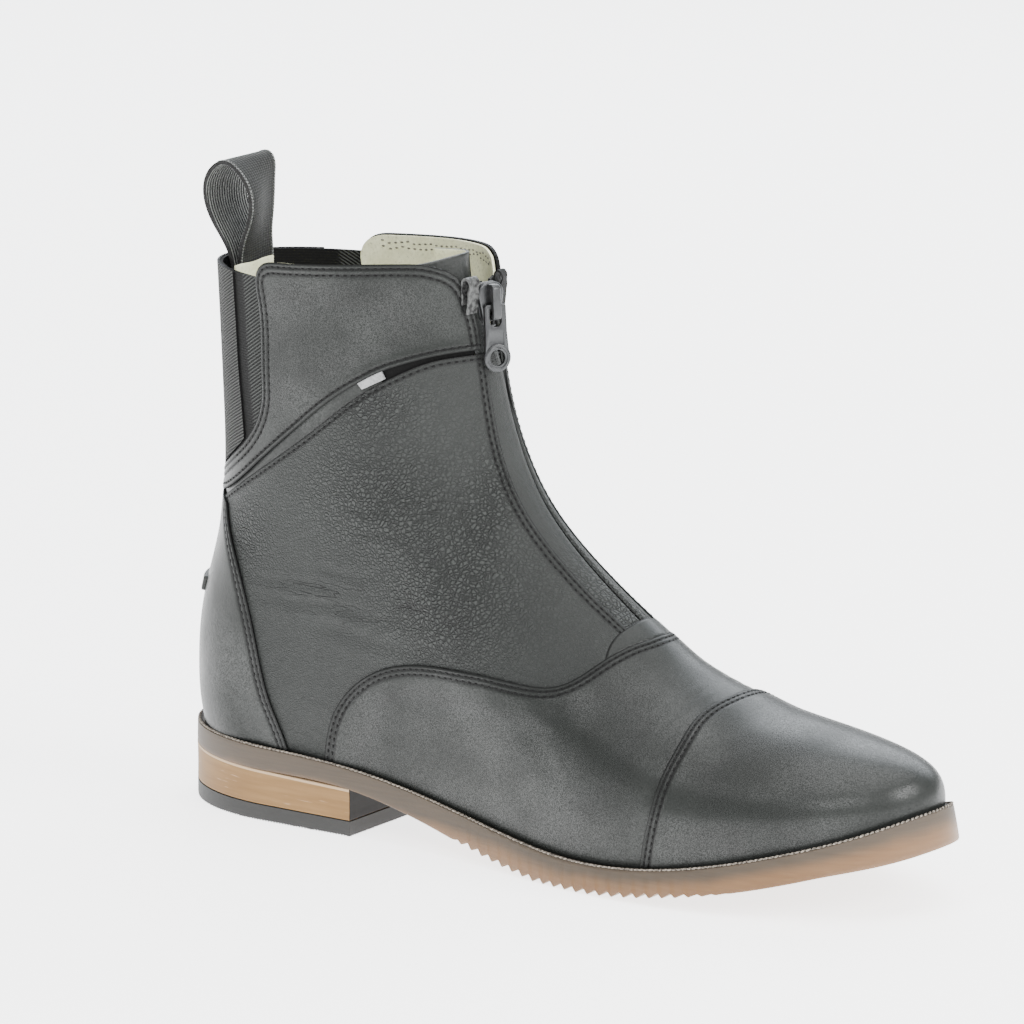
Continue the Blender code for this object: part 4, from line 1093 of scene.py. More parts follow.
def layLoop():
    path = lineThrough(loop["path"], 110)
    share = np.linspace(-1, 1, 27)
    x = np.repeat(path[:, 0, None], len(share), 1)
    bulge = tableLine(loop["bulge"])(np.linspace(0, 1, len(path)))
    x = x - loop["flat"] * bulge[:, None] * softStep((share + 1) / 2)[None]
    z = np.repeat(path[:, 1, None], len(share), 1)
    y = np.repeat(share[None] * loop["width"] / 2, len(path), 0)
    cosine, sine = math.cos(loop["yaw"]), math.sin(loop["yaw"])
    turnedX = loop["pivotX"] + (x - loop["pivotX"]) * cosine - y * sine
    turnedY = (x - loop["pivotX"]) * sine + y * cosine
    laid = np.stack([turnedX, turnedY, z], -1)
    piece = addGrid("pullLoop", laid)
    length = runOf(path)[-1]
    flatPlaces(piece, y, np.repeat(runOf(path)[:, None], len(share), 1))
    back = softStep((np.linspace(0, 1, len(path)) - loop["ribsFrom"]) / 0.08)
    plain = loop["plainRibs"]
    setAttribute(piece, "ribs", np.repeat(plain + (1 - plain) * back[:, None], len(share), 1))
    for look in (webbing, rimBlack):
        piece.data.materials.append(look)
    useModifier(piece, "SOLIDIFY", thickness=loop["thick"] * mm, offset=0.0, material_offset_rim=1)
    smooth(piece)
    places, along, out, woven = [], [], [], loop["selvedge"]
    for edge in (0, -1):
        line = laid[:, edge]
        run = runOf(line)
        at = np.arange(woven["from"], run[-1] * woven["share"], woven["pitch"])
        spot = readAt(at, run, line)
        ahead = unit(readAt(at + 0.3, run, line) - spot)
        across = unit(np.repeat((laid[:1, -1] - laid[:1, 0]), len(at), 0)) * (1 if edge == 0 else -1)
        normal = unit(np.cross(ahead, across))
        for face in (woven["face"], -woven["face"]):
            for lean, stand in zip((woven["lean"], -woven["lean"]), woven["stand"]):
                places.append(spot + across * stand + normal * face)
                along.append(unit(ahead * lean + across))
                out.append(normal)
    selvedge = beads("loopSelvedge", np.concatenate(places), np.concatenate(along), np.concatenate(out),
                     woven["half"], 6, 4)
    selvedge.data.materials.append(selvedgeGrey)
    return piece, selvedge, length


def plainCloth(name, low, high, rough=0.75, scale=1600):
    made, feed, p = material(name, Specular_IOR_Level=0.25)
    fuzz = p.noise(scale, 3.0)
    feed(Base_Color=fuzz.ramp(0.3, 0.7).tint(low, high), Roughness=fuzz * 0.15 + rough, Normal=fuzz.bump(0.1, 0.6))
    return made


selvedgeGrey = plainCloth("selvedgeGrey", (0.07, 0.072, 0.07), (0.22, 0.225, 0.22))
rimBlack = plainCloth("rimBlack", (0.006, 0.006, 0.006), (0.024, 0.024, 0.024))
(gusset, gussetU, gussetV), (strap, strapU, strapV) = layGusset(), layStrap()
pullLoop, selvedge, loopLength = layLoop()
for piece, node, slotName in ((gusset, "elastic_gusset", "elastic"), (strap, "back_strap", "webbing"),
                              (pullLoop, "pull_loop", "webbing"), (selvedge, "pull_loop", "webbing")):
    keep(piece, node)


backStrip = {"y": (-17.0, 5.5), "z": (150.0, 183.6), "x": 22.0, "bow": 0.011, "bowFrom": 184.0, "bowFade": 60.0,
             "lean": 0.10, "wave": 0.25, "waveLength": 3.1, "waveFrom": 182.0, "thick": 0.7, "edge": 0.2}


def layBackLining():  # cream strip inside the back, over the tails of the loop
    y, z = np.linspace(*backStrip["y"], 25)[None], np.linspace(*backStrip["z"], 20)[:, None]
    laid = np.zeros((z.size, y.size, 3))
    bow = backStrip["bow"] * (y ** 2) * softStep((backStrip["bowFrom"] - z) / backStrip["bowFade"])
    laid[..., 0] = backStrip["x"] - bow + backStrip["lean"] * np.abs(y)
    laid[..., 1] = y
    laid[..., 2] = z + backStrip["wave"] * np.sin(y / backStrip["waveLength"]) * (z > backStrip["waveFrom"])
    piece = addGrid("backLining", laid)
    thicken(piece, backStrip["thick"], backStrip["edge"])
    keep(piece, look=cream)


layBackLining()
# cut size of the pull loop, measured along its own rows
print("pullLoop cut to", loop["width"], "by", loopLength.round(1), "mm")
print("elastic, strap and loop done")


# Sole: welt with its stitching, gum sole with a sawtooth tread, stacked heel with a ribbed lift
sole = {
    "heelBack": 3.5, "heelRound": 45.0, "breast": 80.0, "ball": 160.0, "springX": 177.0,
    "spring": (23.7, 112.0, 1.7),  # height at the toe, length, power
    "lift": (6.0, 5.4), "stack": (18.3, 15.7),  # heights at the back and at the breast
    "arch": [(0.0, 18.6), (40.0, 17.4), (80.0, 16.0), (100.0, 12.2), (120.0, 7.4), (140.0, 2.8), (160.0, 0.0)],
    # x, how far the top and the flared bottom stand out from the feather line
    "ledge": [(0.0, 4.3, 4.4), (14.0, 3.9, 4.1), (40.0, 2.9, 3.4), (80.0, 2.4, 3.2), (120.0, 2.4, 3.4),
              (180.0, 3.0, 5.0), (250.0, 3.1, 5.2), (282.0, 2.9, 5.0)],
    "lip": [(0.0, 0.1), (150.0, 0.0), (200.0, -0.4), (225.0, 0.1), (250.0, 0.6), (270.0, 1.0), (282.0, 1.7)],
    "blunt": (258.0, 284.0, 1.6),  # the last of the toe stays lower
    "tread": {"pitch": 4.7, "depth": 1.9, "start": (121.0, 130.0), "end": (206.0, 240.0)},
    "ribs": {"pitch": 1.15, "depth": 0.6},
    # the wall's section: share of the way down, how far it stands out
    "wall": [(0.05, -6.0), (0.01, -0.55), (0.0, -0.3), (0.03, -0.05), (0.10, 0.0), (0.25, 0.02), (0.45, 0.03),
             (0.62, 0.03), (0.76, 0.02), (0.88, 0.0), (0.96, -0.06), (0.99, -0.25), (1.0, -0.6)],
    # the welt's section: out and up from the top of the wall
    "weltSection": [(-6.0, -0.2), (-2.6, -0.25), (-1.9, -0.5), (-1.5, -0.15), (-1.0, 0.1), (-0.5, 0.1),
                    (-0.3, -0.1), (-0.35, -1.0), (-0.6, -2.3), (-6.0, -2.6)],
    "rope": {"pitch": 1.75, "slant": 0.42, "half": (1.0, 0.40, 0.36), "in": 0.5, "up": 0.12},
}
archZ = tableLine(sole["arch"])
ledgeTop, ledgeLow = tableLine(sole["ledge"]), tableLine(sole["ledge"], 0, 2)
lipZ = tableLine(sole["lip"])


def soleBottom(x):
    height, length, power = sole["spring"]
    spring = height * (np.maximum(x - sole["springX"], 0) / length) ** power
    start, end, drop = sole["blunt"]
    arch = np.where(x < sole["ball"], np.maximum(archZ(x), 0), 0)
    return arch + spring - drop * softStep((x - start) / (end - start))


def outlineHalf(x, out, side):  # half width of an outline that stands out from the feather line
    toe = quarterRound((tipX + out - x) / last["toeRound"])
    heel = quarterRound((x - sole["heelBack"] + out) / sole["heelRound"])
    return (planHalf[side](x) + out) * toe * heel


def soleLoop(outAt, shares, endX=None):  # closed outline, back to toe on the outer side and back again
    start = sole["heelBack"] - float(outAt(0.0))
    end = endX or tipX + float(outAt(tipX))
    x = start + (end - start) * shares
    out = outAt(x)
    near = np.stack([x, middleY(x) - outlineHalf(x, out, outer)], 1)
    far = np.stack([x, middleY(x) + outlineHalf(x, out, inner)], 1)
    return np.concatenate([near, far[::-1][1:] if endX is None else far[::-1]])


def toothAt(x):  # leaning sawtooth, 0 at the tips and 1 in the grooves
    phase = (x / sole["tread"]["pitch"]) % 1.0
    (a, b), (c, d) = sole["tread"]["start"], sole["tread"]["end"]
    tooth = np.where(phase < 0.68, phase / 0.68, (1 - phase) / 0.32)
    return tooth * softStep((x - a) / (b - a)) * (1 - softStep((x - c) / (d - c)))


def layOutsole():
    (a, _), (_, d) = sole["tread"]["start"], sole["tread"]["end"]
    step = sole["tread"]["pitch"] / 10
    ends = 1 - np.cos(np.linspace(0, np.pi / 2, 40))
    low = sole["heelBack"] - float(ledgeLow(0.0))
    high = tipX + float(ledgeLow(tipX))
    toe = (high - (high - d) * ends)[::-1]
    stations = np.concatenate([low + (a - low) * ends[:-1], np.arange(a, d, step), toe])
    share = (stations - low) / (high - low)
    ring = []
    # from the top of the outer side round the wall and the bottom to the inner side
    groove = toothAt(stations) * sole["tread"]["depth"]
    for down, out in sole["wall"]:
        def standAt(x):
            return ledgeTop(x) + (ledgeLow(x) - ledgeTop(x)) * down + out
        begin = sole["heelBack"] - float(standAt(0.0))
        x = begin + (tipX + float(standAt(tipX)) - begin) * share
        top = featherZ(x) + lipZ(x) - 0.2
        z = top + (soleBottom(x) + groove - top) * down
        ring.append([np.stack([x, middleY(x) + side * outlineHalf(x, standAt(x), side), z], 1)
                     for side in (outer, inner)])
    columns = [half[0] for half in ring]
    for share in (0.75, 0.45, 0.15, -0.15, -0.45, -0.75):  # across the bottom
        near, far = ring[-1]
        columns.append(near * (1 + share) / 2 + far * (1 - share) / 2)
    columns += [half[1] for half in ring[::-1]]
    points = np.stack(columns, 1)
    points = np.concatenate([points, points[:, :1]], 1)
    piece = mergePoints(addGrid("outsole", points), fill=True)
    places = toTables(placesOf(piece))
    top, bottom = featherZ(places[:, 0]) + lipZ(places[:, 0]), soleBottom(places[:, 0])
    setAttribute(piece, "rise", (places[:, 2] - bottom) / np.maximum(top - bottom, 1.0))
    smooth(piece, 34)
    return piece


def layWelt():
    shares = (1 - np.cos(np.linspace(0, np.pi, 190))) / 2
    rows = []
    for out, drop in sole["weltSection"]:
        loopXY = soleLoop(lambda x: ledgeTop(x) + out, shares)
        z = featherZ(loopXY[:, 0]) + lipZ(loopXY[:, 0]) - 0.1 + drop
        rows.append(np.column_stack([loopXY, z]))
    points = np.stack(rows + rows[:1])
    piece = mergePoints(addGrid("welt", points), fill=True)
    smooth(piece, 50)
    # thick waxed stitches that lie slanted along the ledge
    rope = sole["rope"]
    line = soleLoop(lambda x: ledgeTop(x) - rope["in"], np.linspace(0, 1, 2500)[1:-1])
    line = np.column_stack([line, featherZ(line[:, 0]) + lipZ(line[:, 0]) + rope["up"]])
    run = runOf(line)
    at = np.arange(1.0, run[-1], rope["pitch"])
    spot = readAt(at, run, line)
    ahead = unit(readAt(at + 0.3, run, line) - spot)
    up = np.repeat([(0.0, 0.0, 1.0)], len(at), 0)
    across = unit(np.cross(up, ahead))
    ropes = beads("weltStitches", spot, unit(ahead + across * rope["slant"]), up, rope["half"])
    return piece, ropes


def layHeel():
    shares = 1 - np.cos(np.linspace(0, np.pi / 2, 90))
    loopXY = soleLoop(ledgeLow, shares, sole["breast"])
    breast = np.linspace(loopXY[-1], loopXY[0], 26)[1:-1]
    around = np.concatenate([breast, loopXY, breast[:1]])
    run = runOf(around)
    closed = readAt(np.linspace(0, run[-1], 1000), run, around)
    along = unit(np.gradient(closed, axis=0))
    inward = np.stack([-along[:, 1], along[:, 0]], 1)
    if np.sum(inward * (np.array((40.0, 0.0)) - closed)) < 0:
        inward = -inward

    def level(height, inset):
        return np.column_stack([closed + inward * inset, height + 0 * closed[:, 0]])
    x = closed[:, 0]
    lift = sole["lift"][0] + (sole["lift"][1] - sole["lift"][0]) * x / sole["breast"]
    stack = sole["stack"][0] + (sole["stack"][1] - sole["stack"][0]) * x / sole["breast"]
    low = lift + 0.12
    stackRows = [level(low, 0.25), level(low + 0.18, 0.03)]
    stackRows += [level(low + (stack - low) * share, 0.10 * math.sin(share * math.pi))
                  for share in np.linspace(0.06, 0.94, 14)]
    stackRows += [level(stack - 0.2, 0.0), level(stack + 0.12, -0.06), level(stack + 0.45, 0.0),
                  level(stack + 0.6, 0.4)]
    stackPiece = mergePoints(addGrid("heelStack", np.stack(stackRows)), fill=True)
    smooth(stackPiece, 50)
    # fine ribs across the tread of the lift show as serrations along its lower edge
    phase = ((run[-1] * np.linspace(0, 1, 1000)) / sole["ribs"]["pitch"]) % 1.0
    rib = (np.abs(phase - 0.5) * 2) * sole["ribs"]["depth"]
    liftRows = [level(rib, 0.5), level(rib + 0.05, 0.12), level(0.95 + 0 * x, 0.0), level(0.6 * lift, 0.02),
                level(lift - 0.25, 0.0), level(lift, 0.3)]
    liftPiece = mergePoints(addGrid("heelTopLift", np.stack(liftRows)), fill=True)
    smooth(liftPiece, 40)
    return stackPiece, liftPiece


def gumMaterial():
    made, feed, p = material("gumRubber", Specular_IOR_Level=0.45, Subsurface_Weight=0.08,
                             Subsurface_Radius=(0.004, 0.0022, 0.001))
    rise = p.attribute("rise")
    streak = p.stretch(60, 60, 900).noise(1.0, 3.0, 0.6)
    wander = p.stretch(1, 1, 0.3).noise(60, 3.0)
    forefoot = p.part(0).ramp(0.055, 0.105)
    level = (rise + (wander - 0.5) * 0.35 + (1.0 - forefoot) * 0.55).ramp(0.28, 0.80)
    amber = streak.tint((0.132, 0.068, 0.029), (0.196, 0.110, 0.052))
    taupe = streak.tint((0.043, 0.031, 0.0205), (0.082, 0.061, 0.041))
    feed(Base_Color=level.tint(amber, taupe), Roughness=streak * 0.18 + 0.36 + level * 0.12,
         Normal=(streak + p.noise(900) * 0.5).bump(0.07, 0.6))
    return made


def weltMaterial():
    made, feed, p = material("taupeWelt", Specular_IOR_Level=0.3)
    rough = p.noise(700, 3.0, 0.6)
    feed(Base_Color=rough.ramp(0.3, 0.7).tint((0.014, 0.012, 0.010), (0.060, 0.050, 0.040)),
         Roughness=rough * 0.2 + 0.6, Normal=rough.bump(0.22, 0.8))
    return made


def ropeMaterial():
    made, feed, p = material("weltThread", Specular_IOR_Level=0.3)
    strand = p.noise(1500, 2.0)
    feed(Base_Color=strand.ramp(0.3, 0.75).tint((0.060, 0.052, 0.043), (0.34, 0.295, 0.245)),
         Roughness=strand * 0.2 + 0.55, Normal=strand.bump(0.12, 0.8))
    return made


def stackMaterial():
    made, feed, p = material("stackedHeel", Specular_IOR_Level=0.2)
    grainWood = p.stretch(28, 28, 420).noise(1.0, 4.0, 0.6)
    fleck = p.stretch(90, 90, 1500).noise(1.0, 2.0).ramp(0.66, 0.74)
    wide = p.noise(25, 2.0)
    body = (grainWood * 0.75 + wide * 0.35).ramp(0.3, 0.85).tint((0.170, 0.090, 0.031), (0.258, 0.153, 0.062))
    pale = fleck.tint(body, (0.34, 0.22, 0.125))
    dark = p.noise(500, 3.0).tint((0.002, 0.0018, 0.0017), (0.006, 0.0052, 0.0045))
    slope = (sole["stack"][1] - sole["stack"][0]) / sole["breast"]
    # a pale line painted along the top edge of the stack: a painted highlight
    topEdge = p.part(2) - p.part(0) * slope - (sole["stack"][0] + slope * originX) * mm
    rim = topEdge.ramp(-0.0005, -0.0002)
    pale = rim.tint(pale, (0.42, 0.30, 0.185))
    front = p.part(0).ramp((sole["breast"] - 0.25 - originX) * mm, (sole["breast"] - 0.1 - originX) * mm)
    feed(Base_Color=front.tint(pale, dark), Roughness=grainWood * 0.2 + 0.42,
         Normal=(grainWood + fleck * 0.5).bump(0.06, 0.5))
    return made


def rubberMaterial():
    made, feed, p = material("blackRubber", Specular_IOR_Level=0.4)
    dust = p.noise(900, 3.0)
    feed(Base_Color=(dust * 0.6 + p.noise(60) * 0.5).tint((0.010, 0.010, 0.0096), (0.028, 0.028, 0.0268)),
         Roughness=dust * 0.2 + 0.5, Normal=dust.bump(0.05, 0.6))
    return made


outsole = layOutsole()
welt, ropes = layWelt()
stackPiece, liftPiece = layHeel()
keep(outsole, "outsole", gumMaterial())
keep(welt, "welt", weltMaterial())
keep(ropes, "welt", ropeMaterial())
keep(stackPiece, "heel_stack", stackMaterial())
keep(liftPiece, "heel_top_lift", rubberMaterial())
print("sole and heel done")


# Zip: tape, teeth, guard flap, slider and pull tab
zipper = {
    "sliderZ": 180.0, "body": (9.6, 13.0), "face": (-0.6, 2.0),
    "bridge": {"width": 3.0, "length": 12.0, "leg": 1.8, "face": (3.9, 5.5)},
    "bar": (-1.3, 2.95),  # the pull tab's crossbar: up along the zip, out of it
    "turn": math.radians(-20), "aside": -2.4,  # the slider hangs over to the outer side where the zip is open
    "twist": math.radians(-10),  # the loose tab is turned a little more
    "tab": {"thick": 1.3, "top": 7.6, "end": 4.7, "length": 17.0, "bar": 1.3, "window": (4.2, 6.2), "hole": 2.7},
    # the halves of the tape open up towards the slider: by how much, from where, over what length
    "tape": {"z": (75.0, 186.5), "width": 7.0, "sink": 1.9, "thick": 0.8, "apart": 0.1,
             "opens": [(0.8, 150.0, 8.0), (1.8, 168.0, 12.0)]},
    "teeth": {"z": (79.0, 172.0), "pitch": 1.15, "lean": 0.75, "sink": 2.0, "half": (1.5, 0.5, 0.6)},
    # the folded ends above the slider: up and out along the fold, their places across, crumple
    "ends": {"fold": [(-3.0, -0.6), (1.0, 0.2), (5.0, 0.8), (7.6, 0.9), (8.8, -0.3), (7.8, -1.7), (5.0, -2.0),
                      (0.0, -2.2)],
             "outer": (-12.2, -7.4), "inner": (5.0, 8.6), "crumple": 0.22, "droop": 0.11, "thick": 0.6},
}


def zipFrame(around=0.0, aside=0.0):  # x runs across, y up along the zip, z out of the boot
    spot, along = ridgeAt(float(np.interp(zipper["sliderZ"], ridgeLine[:, 1], ridgeRun)))
    up, out = (along[0], 0.0, along[1]), (along[1], 0.0, -along[0])
    turn = Matrix(((0, 1, 0), up, out)).transposed().to_4x4()
    place = Vector((spot[0] - originX, float(middleY(spot[0])), spot[1])) * mm
    return (Matrix.Translation(place) @ turn @ Matrix.Translation((aside * mm, 0, 0))
            @ Matrix.Rotation(around, 4, "Y"))


plainFrame, sliderFrame = zipFrame(), zipFrame(zipper["turn"], zipper["aside"])


def plate(name, outline, low, high, edge=0.0, segments=2, upright=False):  # a flat piece between two heights
    count = len(outline)
    deselect()
    bpy.ops.mesh.primitive_circle_add(vertices=count, radius=1.0, fill_type="NGON")
    piece = bpy.context.object
    piece.name = name
    outline = np.asarray(outline, float)
    flat = np.column_stack([outline, np.full(count, high)]) * mm
    area = np.sum(outline[:, 0] * np.roll(outline[:, 1], -1) - np.roll(outline[:, 0], -1) * outline[:, 1])
    movePoints(piece, flat if area > 0 else flat[::-1])
    if piece.data.polygons[0].normal.z < 0:
        piece.data.flip_normals()
    useModifier(piece, "SOLIDIFY", thickness=(high - low) * mm, offset=-1.0)
    if edge:
        roundEdges(piece, edge, 40, segments)
    if upright:  # drawn in the side view of the slider: its up and its out
        piece.data.transform(Matrix(((0, 0, 1, 0), (1, 0, 0, 0), (0, 1, 0, 0), (0, 0, 0, 1))))
    return piece


def arc(centre, radius, start, end, steps):
    angles = np.radians(np.linspace(start, end, steps))
    return [(centre[0] + radius * math.cos(a), centre[1] + radius * math.sin(a)) for a in angles]


def cutAway(piece, cutter):
    useModifier(piece, "BOOLEAN", operation="DIFFERENCE", solver="EXACT", object=cutter)
    bpy.data.objects.remove(cutter)


def joined(name, pieces):
    deselect()
    for piece in pieces:
        piece.select_set(True)
    bpy.context.view_layer.objects.active = pieces[0]
    bpy.ops.object.join()
    pieces[0].name = name
    return pieces[0]


def laySlider():
    half, tall = zipper["body"][0] / 2, zipper["body"][1] / 2
    shield = lineThrough([(0.0, tall), (half * 0.55, tall * 0.98), (half * 0.97, tall * 0.72), (half, tall * 0.2),
                          (half * 0.82, -tall * 0.45), (half * 0.6, -tall * 0.93), (0.0, -tall)], 26)
    shield = np.concatenate([shield, (shield * (-1, 1))[::-1][1:-1]])
    low, high = zipper["face"]
    back = plate("zipSlider", shield, low, low + 0.8, 0.25)
    front = plate("sliderFront", shield * (0.97, 0.98), low + 1.5, high, 0.45, 3)
    post = plate("sliderPost", np.array(arc((0, tall * 0.5), 1.6, 0, 337.5, 16)), low + 0.4, high - 0.3)
    bridge = zipper["bridge"]
    end, leg, (under, top) = bridge["length"] / 2, bridge["leg"], bridge["face"]
    foot, outside, hollow = high - 0.6, 1.7, 0.7  # its feet in the front plate, and the rounds of its bends
    arch = ([(-end, foot)] + arc((-end + outside, top - outside), outside, 180, 90, 7)
            + arc((end - outside, top - outside), outside, 90, 0, 7) + [(end, foot), (end - leg, foot)]
            + arc((end - leg - hollow, under - hollow), hollow, 0, 90, 5)
            + arc((-end + leg + hollow, under - hollow), hollow, 90, 180, 5) + [(-end + leg, foot)])
    bow = plate("sliderBridge", np.array(arch), -bridge["width"] / 2, bridge["width"] / 2, 0.45, 3, upright=True)
    piece = joined("zipSlider", [back, front, post, bow])
    piece.data.transform(sliderFrame)
    smooth(piece, 35)
    return piece


def layPull():
    tab = zipper["tab"]
    half, top, thick = tab["top"] / 2, tab["bar"] / 2, tab["thick"] / 2
    neck, centre = -(tab["window"][1] + 2 * tab["bar"]), (0, -tab["length"])
    edge = ([(half - 0.7, top), (-half + 0.7, top), (-half, top - 0.7), (-half, neck)]
            + arc(centre, tab["end"], 153, 387, 40) + [(half, neck), (half, top - 0.7)])

    def disc(name, radius, deep):  # round about the middle of the tab's end
        return plate(name, np.array(arc(centre, radius, 0, 352.5, 48)), -deep, deep)
    piece = plate("zipPull", np.array(edge), -thick, thick)
    wide, long = tab["window"]
    window = ([(wide / 2, -top), (-wide / 2, -top)] + arc((0, -top - long + wide / 2), wide / 2, 180, 360, 12))
    cutAway(piece, plate("windowCutter", np.array(window), -3.0, 3.0))
    cutAway(piece, disc("holeCutter", tab["hole"], 3.0))
    # a sunk field between the window and the hole, on both faces, leaves a raised rim
    field = [(-2.5, -8.6), (-2.6, -12.0), (-2.2, -13.9), (0.0, -14.2), (2.2, -13.9), (2.6, -12.0), (2.5, -8.6)]
    for face in (1, -1):
        low, high = sorted((face * (thick - 0.28), face * 2.0))
        cutAway(piece, plate("fieldCutter", np.array(field), low, high))
    roundEdges(piece, 0.22, 40)
    rim = disc("pullRim", tab["end"] - 0.15, thick + 0.25)
    cutAway(rim, disc("rimCutter", tab["hole"] + 0.75, 3.0))
    roundEdges(rim, 0.2, 40)
    piece = joined("zipPull", [piece, rim])
    up, out = zipper["bar"]
    piece.data.transform(sliderFrame @ Matrix.Translation(Vector((0, up, out + 0.4)) * mm)
                         @ Matrix.Rotation(zipper["twist"], 4, "Y"))
    smooth(piece, 35)
    return piece


def layTape():  # woven tape under the facing, on both sides of the teeth
    tape = zipper["tape"]
    z = np.linspace(*tape["z"], 70)
    apart = np.full(len(z), tape["apart"])
    for wide, start, length in tape["opens"]:
        apart += wide * softStep((z - start) / length)
    y = apart[:, None] + tape["width"] * np.linspace(0, 1, 9)[None]
    halves = []
    for side in (outer, inner):
        half = mergeAndFace(addGrid("zipTapeHalf", skin(besideRidge(z[:, None], y, side), side)))
        places = toTables(placesOf(half))
        movePoints(half, toWorld(movedAside(places, slitShift(places[:, 2]))))
        sunk(half, tape["sink"])
        thicken(half, tape["thick"], edge=0.0)
        halves.append(half)
    piece = joined("zipTape", halves)
    piece.data.materials.append(tapeBlack)
    return piece


def layTeeth():  # interlocked teeth from the foot of the zip up into the slider
    teeth = zipper["teeth"]
    z = np.linspace(*teeth["z"], 400)
    line = np.stack([np.interp(z, ridgeLine[:, 1], ridgeLine[:, 0]), z], 1)
    run = runOf(line)
    at = np.arange(0.5, run[-1], teeth["pitch"])
    places = readAt(at, run, line)
    x, height = places.T
    ahead = unit(readAt(at + 0.3, run, line) - places)
    out = np.column_stack([ahead[:, 1], 0 * x, -ahead[:, 0]])
    lean = np.where(np.arange(len(at)) % 2, teeth["lean"], -teeth["lean"])
    spots = movedAside(np.column_stack([x, middleY(x) + lean, height]), slitShift(height)) - out * teeth["sink"]
    across = np.repeat([(0.0, 1.0, 0.0)], len(at), 0)
    piece = beads("zipTeeth", spots, across, out, teeth["half"], 6, 4)
    piece.data.materials.append(darkMetal)
    return piece


def layTapeEnds():  # the tape is folded over above the slider; the end on the outer side has grey flecks, a painted sheen on the black tape, the end on the inner side is plain black
    pieces, ends = [], zipper["ends"]
    for name, across, look in (("tapeEndOuter", ends["outer"], tapeSheen), ("tapeEndInner", ends["inner"], tapeBlack)):
        fold = lineThrough(ends["fold"], 44)
        a = across[0] + (across[1] - across[0]) * np.linspace(0, 1, 12)
        up, out = fold[:, 0, None], fold[:, 1, None]
        crumple = ends["crumple"] * np.sin(1.3 * up + 1.1 * a[None]) * bell(up - 5.5, 3.0)
        points = np.stack([np.repeat(a[None], len(fold), 0), np.repeat(up, len(a), 1),
                           np.repeat(out, len(a), 1) + crumple - ends["droop"] * np.abs(a[None])], -1)
        piece = addGrid(name, points + (originX, 0, 0))
        piece.data.transform(plainFrame)
        useModifier(piece, "SOLIDIFY", thickness=ends["thick"] * mm, offset=0.0)
        smooth(piece, 60)
        piece.data.materials.append(look)
        pieces.append(piece)
    return pieces


guard = {
    "foot": 85.0, "half": 15.0, "deep": 4.4, "looseFrom": 142.0, "looseTo": 190.0, "thick": 1.2, "edge": 0.4,
    # seen from above, its free top crosses behind the zip and curls back into the shaft
    "top": [(97.0, -20.0, 192.4), (101.0, -13.5, 193.2), (104.0, -6.5, 194.2), (105.3, -0.5, 194.7),
            (104.2, 3.2, 194.7), (100.5, 5.6, 194.4), (95.0, 6.4, 194.0), (88.5, 6.2, 193.6)],
}


def layGuard():  # flap behind the zip: leather outside, cream inside
    z = np.linspace(guard["foot"], guard["looseTo"], 90)
    y = guard["half"] * np.linspace(0, 1, 20)
    halves = []
    for side in (outer, inner):
        rows = skin(besideRidge(z[:, None], y[None], side), side)
        out = unit(np.cross(np.gradient(rows, axis=0), np.gradient(rows, axis=1))) * -side
        halves.append(rows - out * guard["deep"])
    rows = joinHalves(*halves)
    top = lineThrough(guard["top"], rows.shape[1])
    free = np.repeat(top[None], len(z), 0) + (z - guard["looseTo"])[:, None, None] * np.array((-0.05, 0.0, 1.0))
    loose = softStep((z - guard["looseFrom"]) / (guard["looseTo"] - guard["looseFrom"]))[:, None, None]
    piece = addGrid("zipGuard", rows * (1 - loose) + free * loose)
    if np.sum(outwardOf(piece)[: 20 * rows.shape[1], 0]) < 0:
        piece.data.flip_normals()
    piece.data.materials.append(leather)
    piece.data.materials.append(cream)
    useModifier(piece, "SOLIDIFY", thickness=guard["thick"] * mm, offset=-1.0, material_offset=1,
                material_offset_rim=0)
    roundEdges(piece, guard["edge"], 50)
    smooth(piece)
    return piece


def metalMaterial():
    made, feed, p = material("darkZipMetal", Metallic=0.85)
    scratch = p.noise(900, 3.0)
    feed(Base_Color=(scratch * 0.5 + p.noise(160) * 0.5).tint((0.030, 0.031, 0.032), (0.085, 0.087, 0.089)),
         Roughness=scratch * 0.2 + 0.26, Normal=scratch.bump(0.03, 0.5))
    return made


darkMetal = metalMaterial()
tapeBlack = plainCloth("zipTapeBlack", (0.006, 0.006, 0.006), (0.022, 0.022, 0.022))
# grey flecks on the black tape of the outer folded end: a painted sheen
tapeSheen = plainCloth("tapeEndPaintedSheen", (0.010, 0.010, 0.010), (0.085, 0.087, 0.085), 0.3, 700)
slider, pull, guardPiece, tape, teeth = laySlider(), layPull(), layGuard(), layTape(), layTeeth()
tapeEnds = layTapeEnds()
keep(slider, "zip_slider", darkMetal)
keep(guardPiece, "zip_guard")
keep(tape, "zip_tape")
keep(teeth, "zip_teeth")
for piece in tapeEnds:
    keep(piece, "zip_tape")
keep(pull, "zip_pull", darkMetal, body="zip_pull")
print("zip done")


# Small things: the plain silver tag and the slit under the swoop with painted shade in it, the spur rest, stitches
# inside the collar
tagForm = {"corners": [(82.2, 153.7), (90.4, 158.3), (91.8, 155.5), (84.2, 151.5)], "raise": 0.12,
           "thick": 0.5, "edge": 0.1}


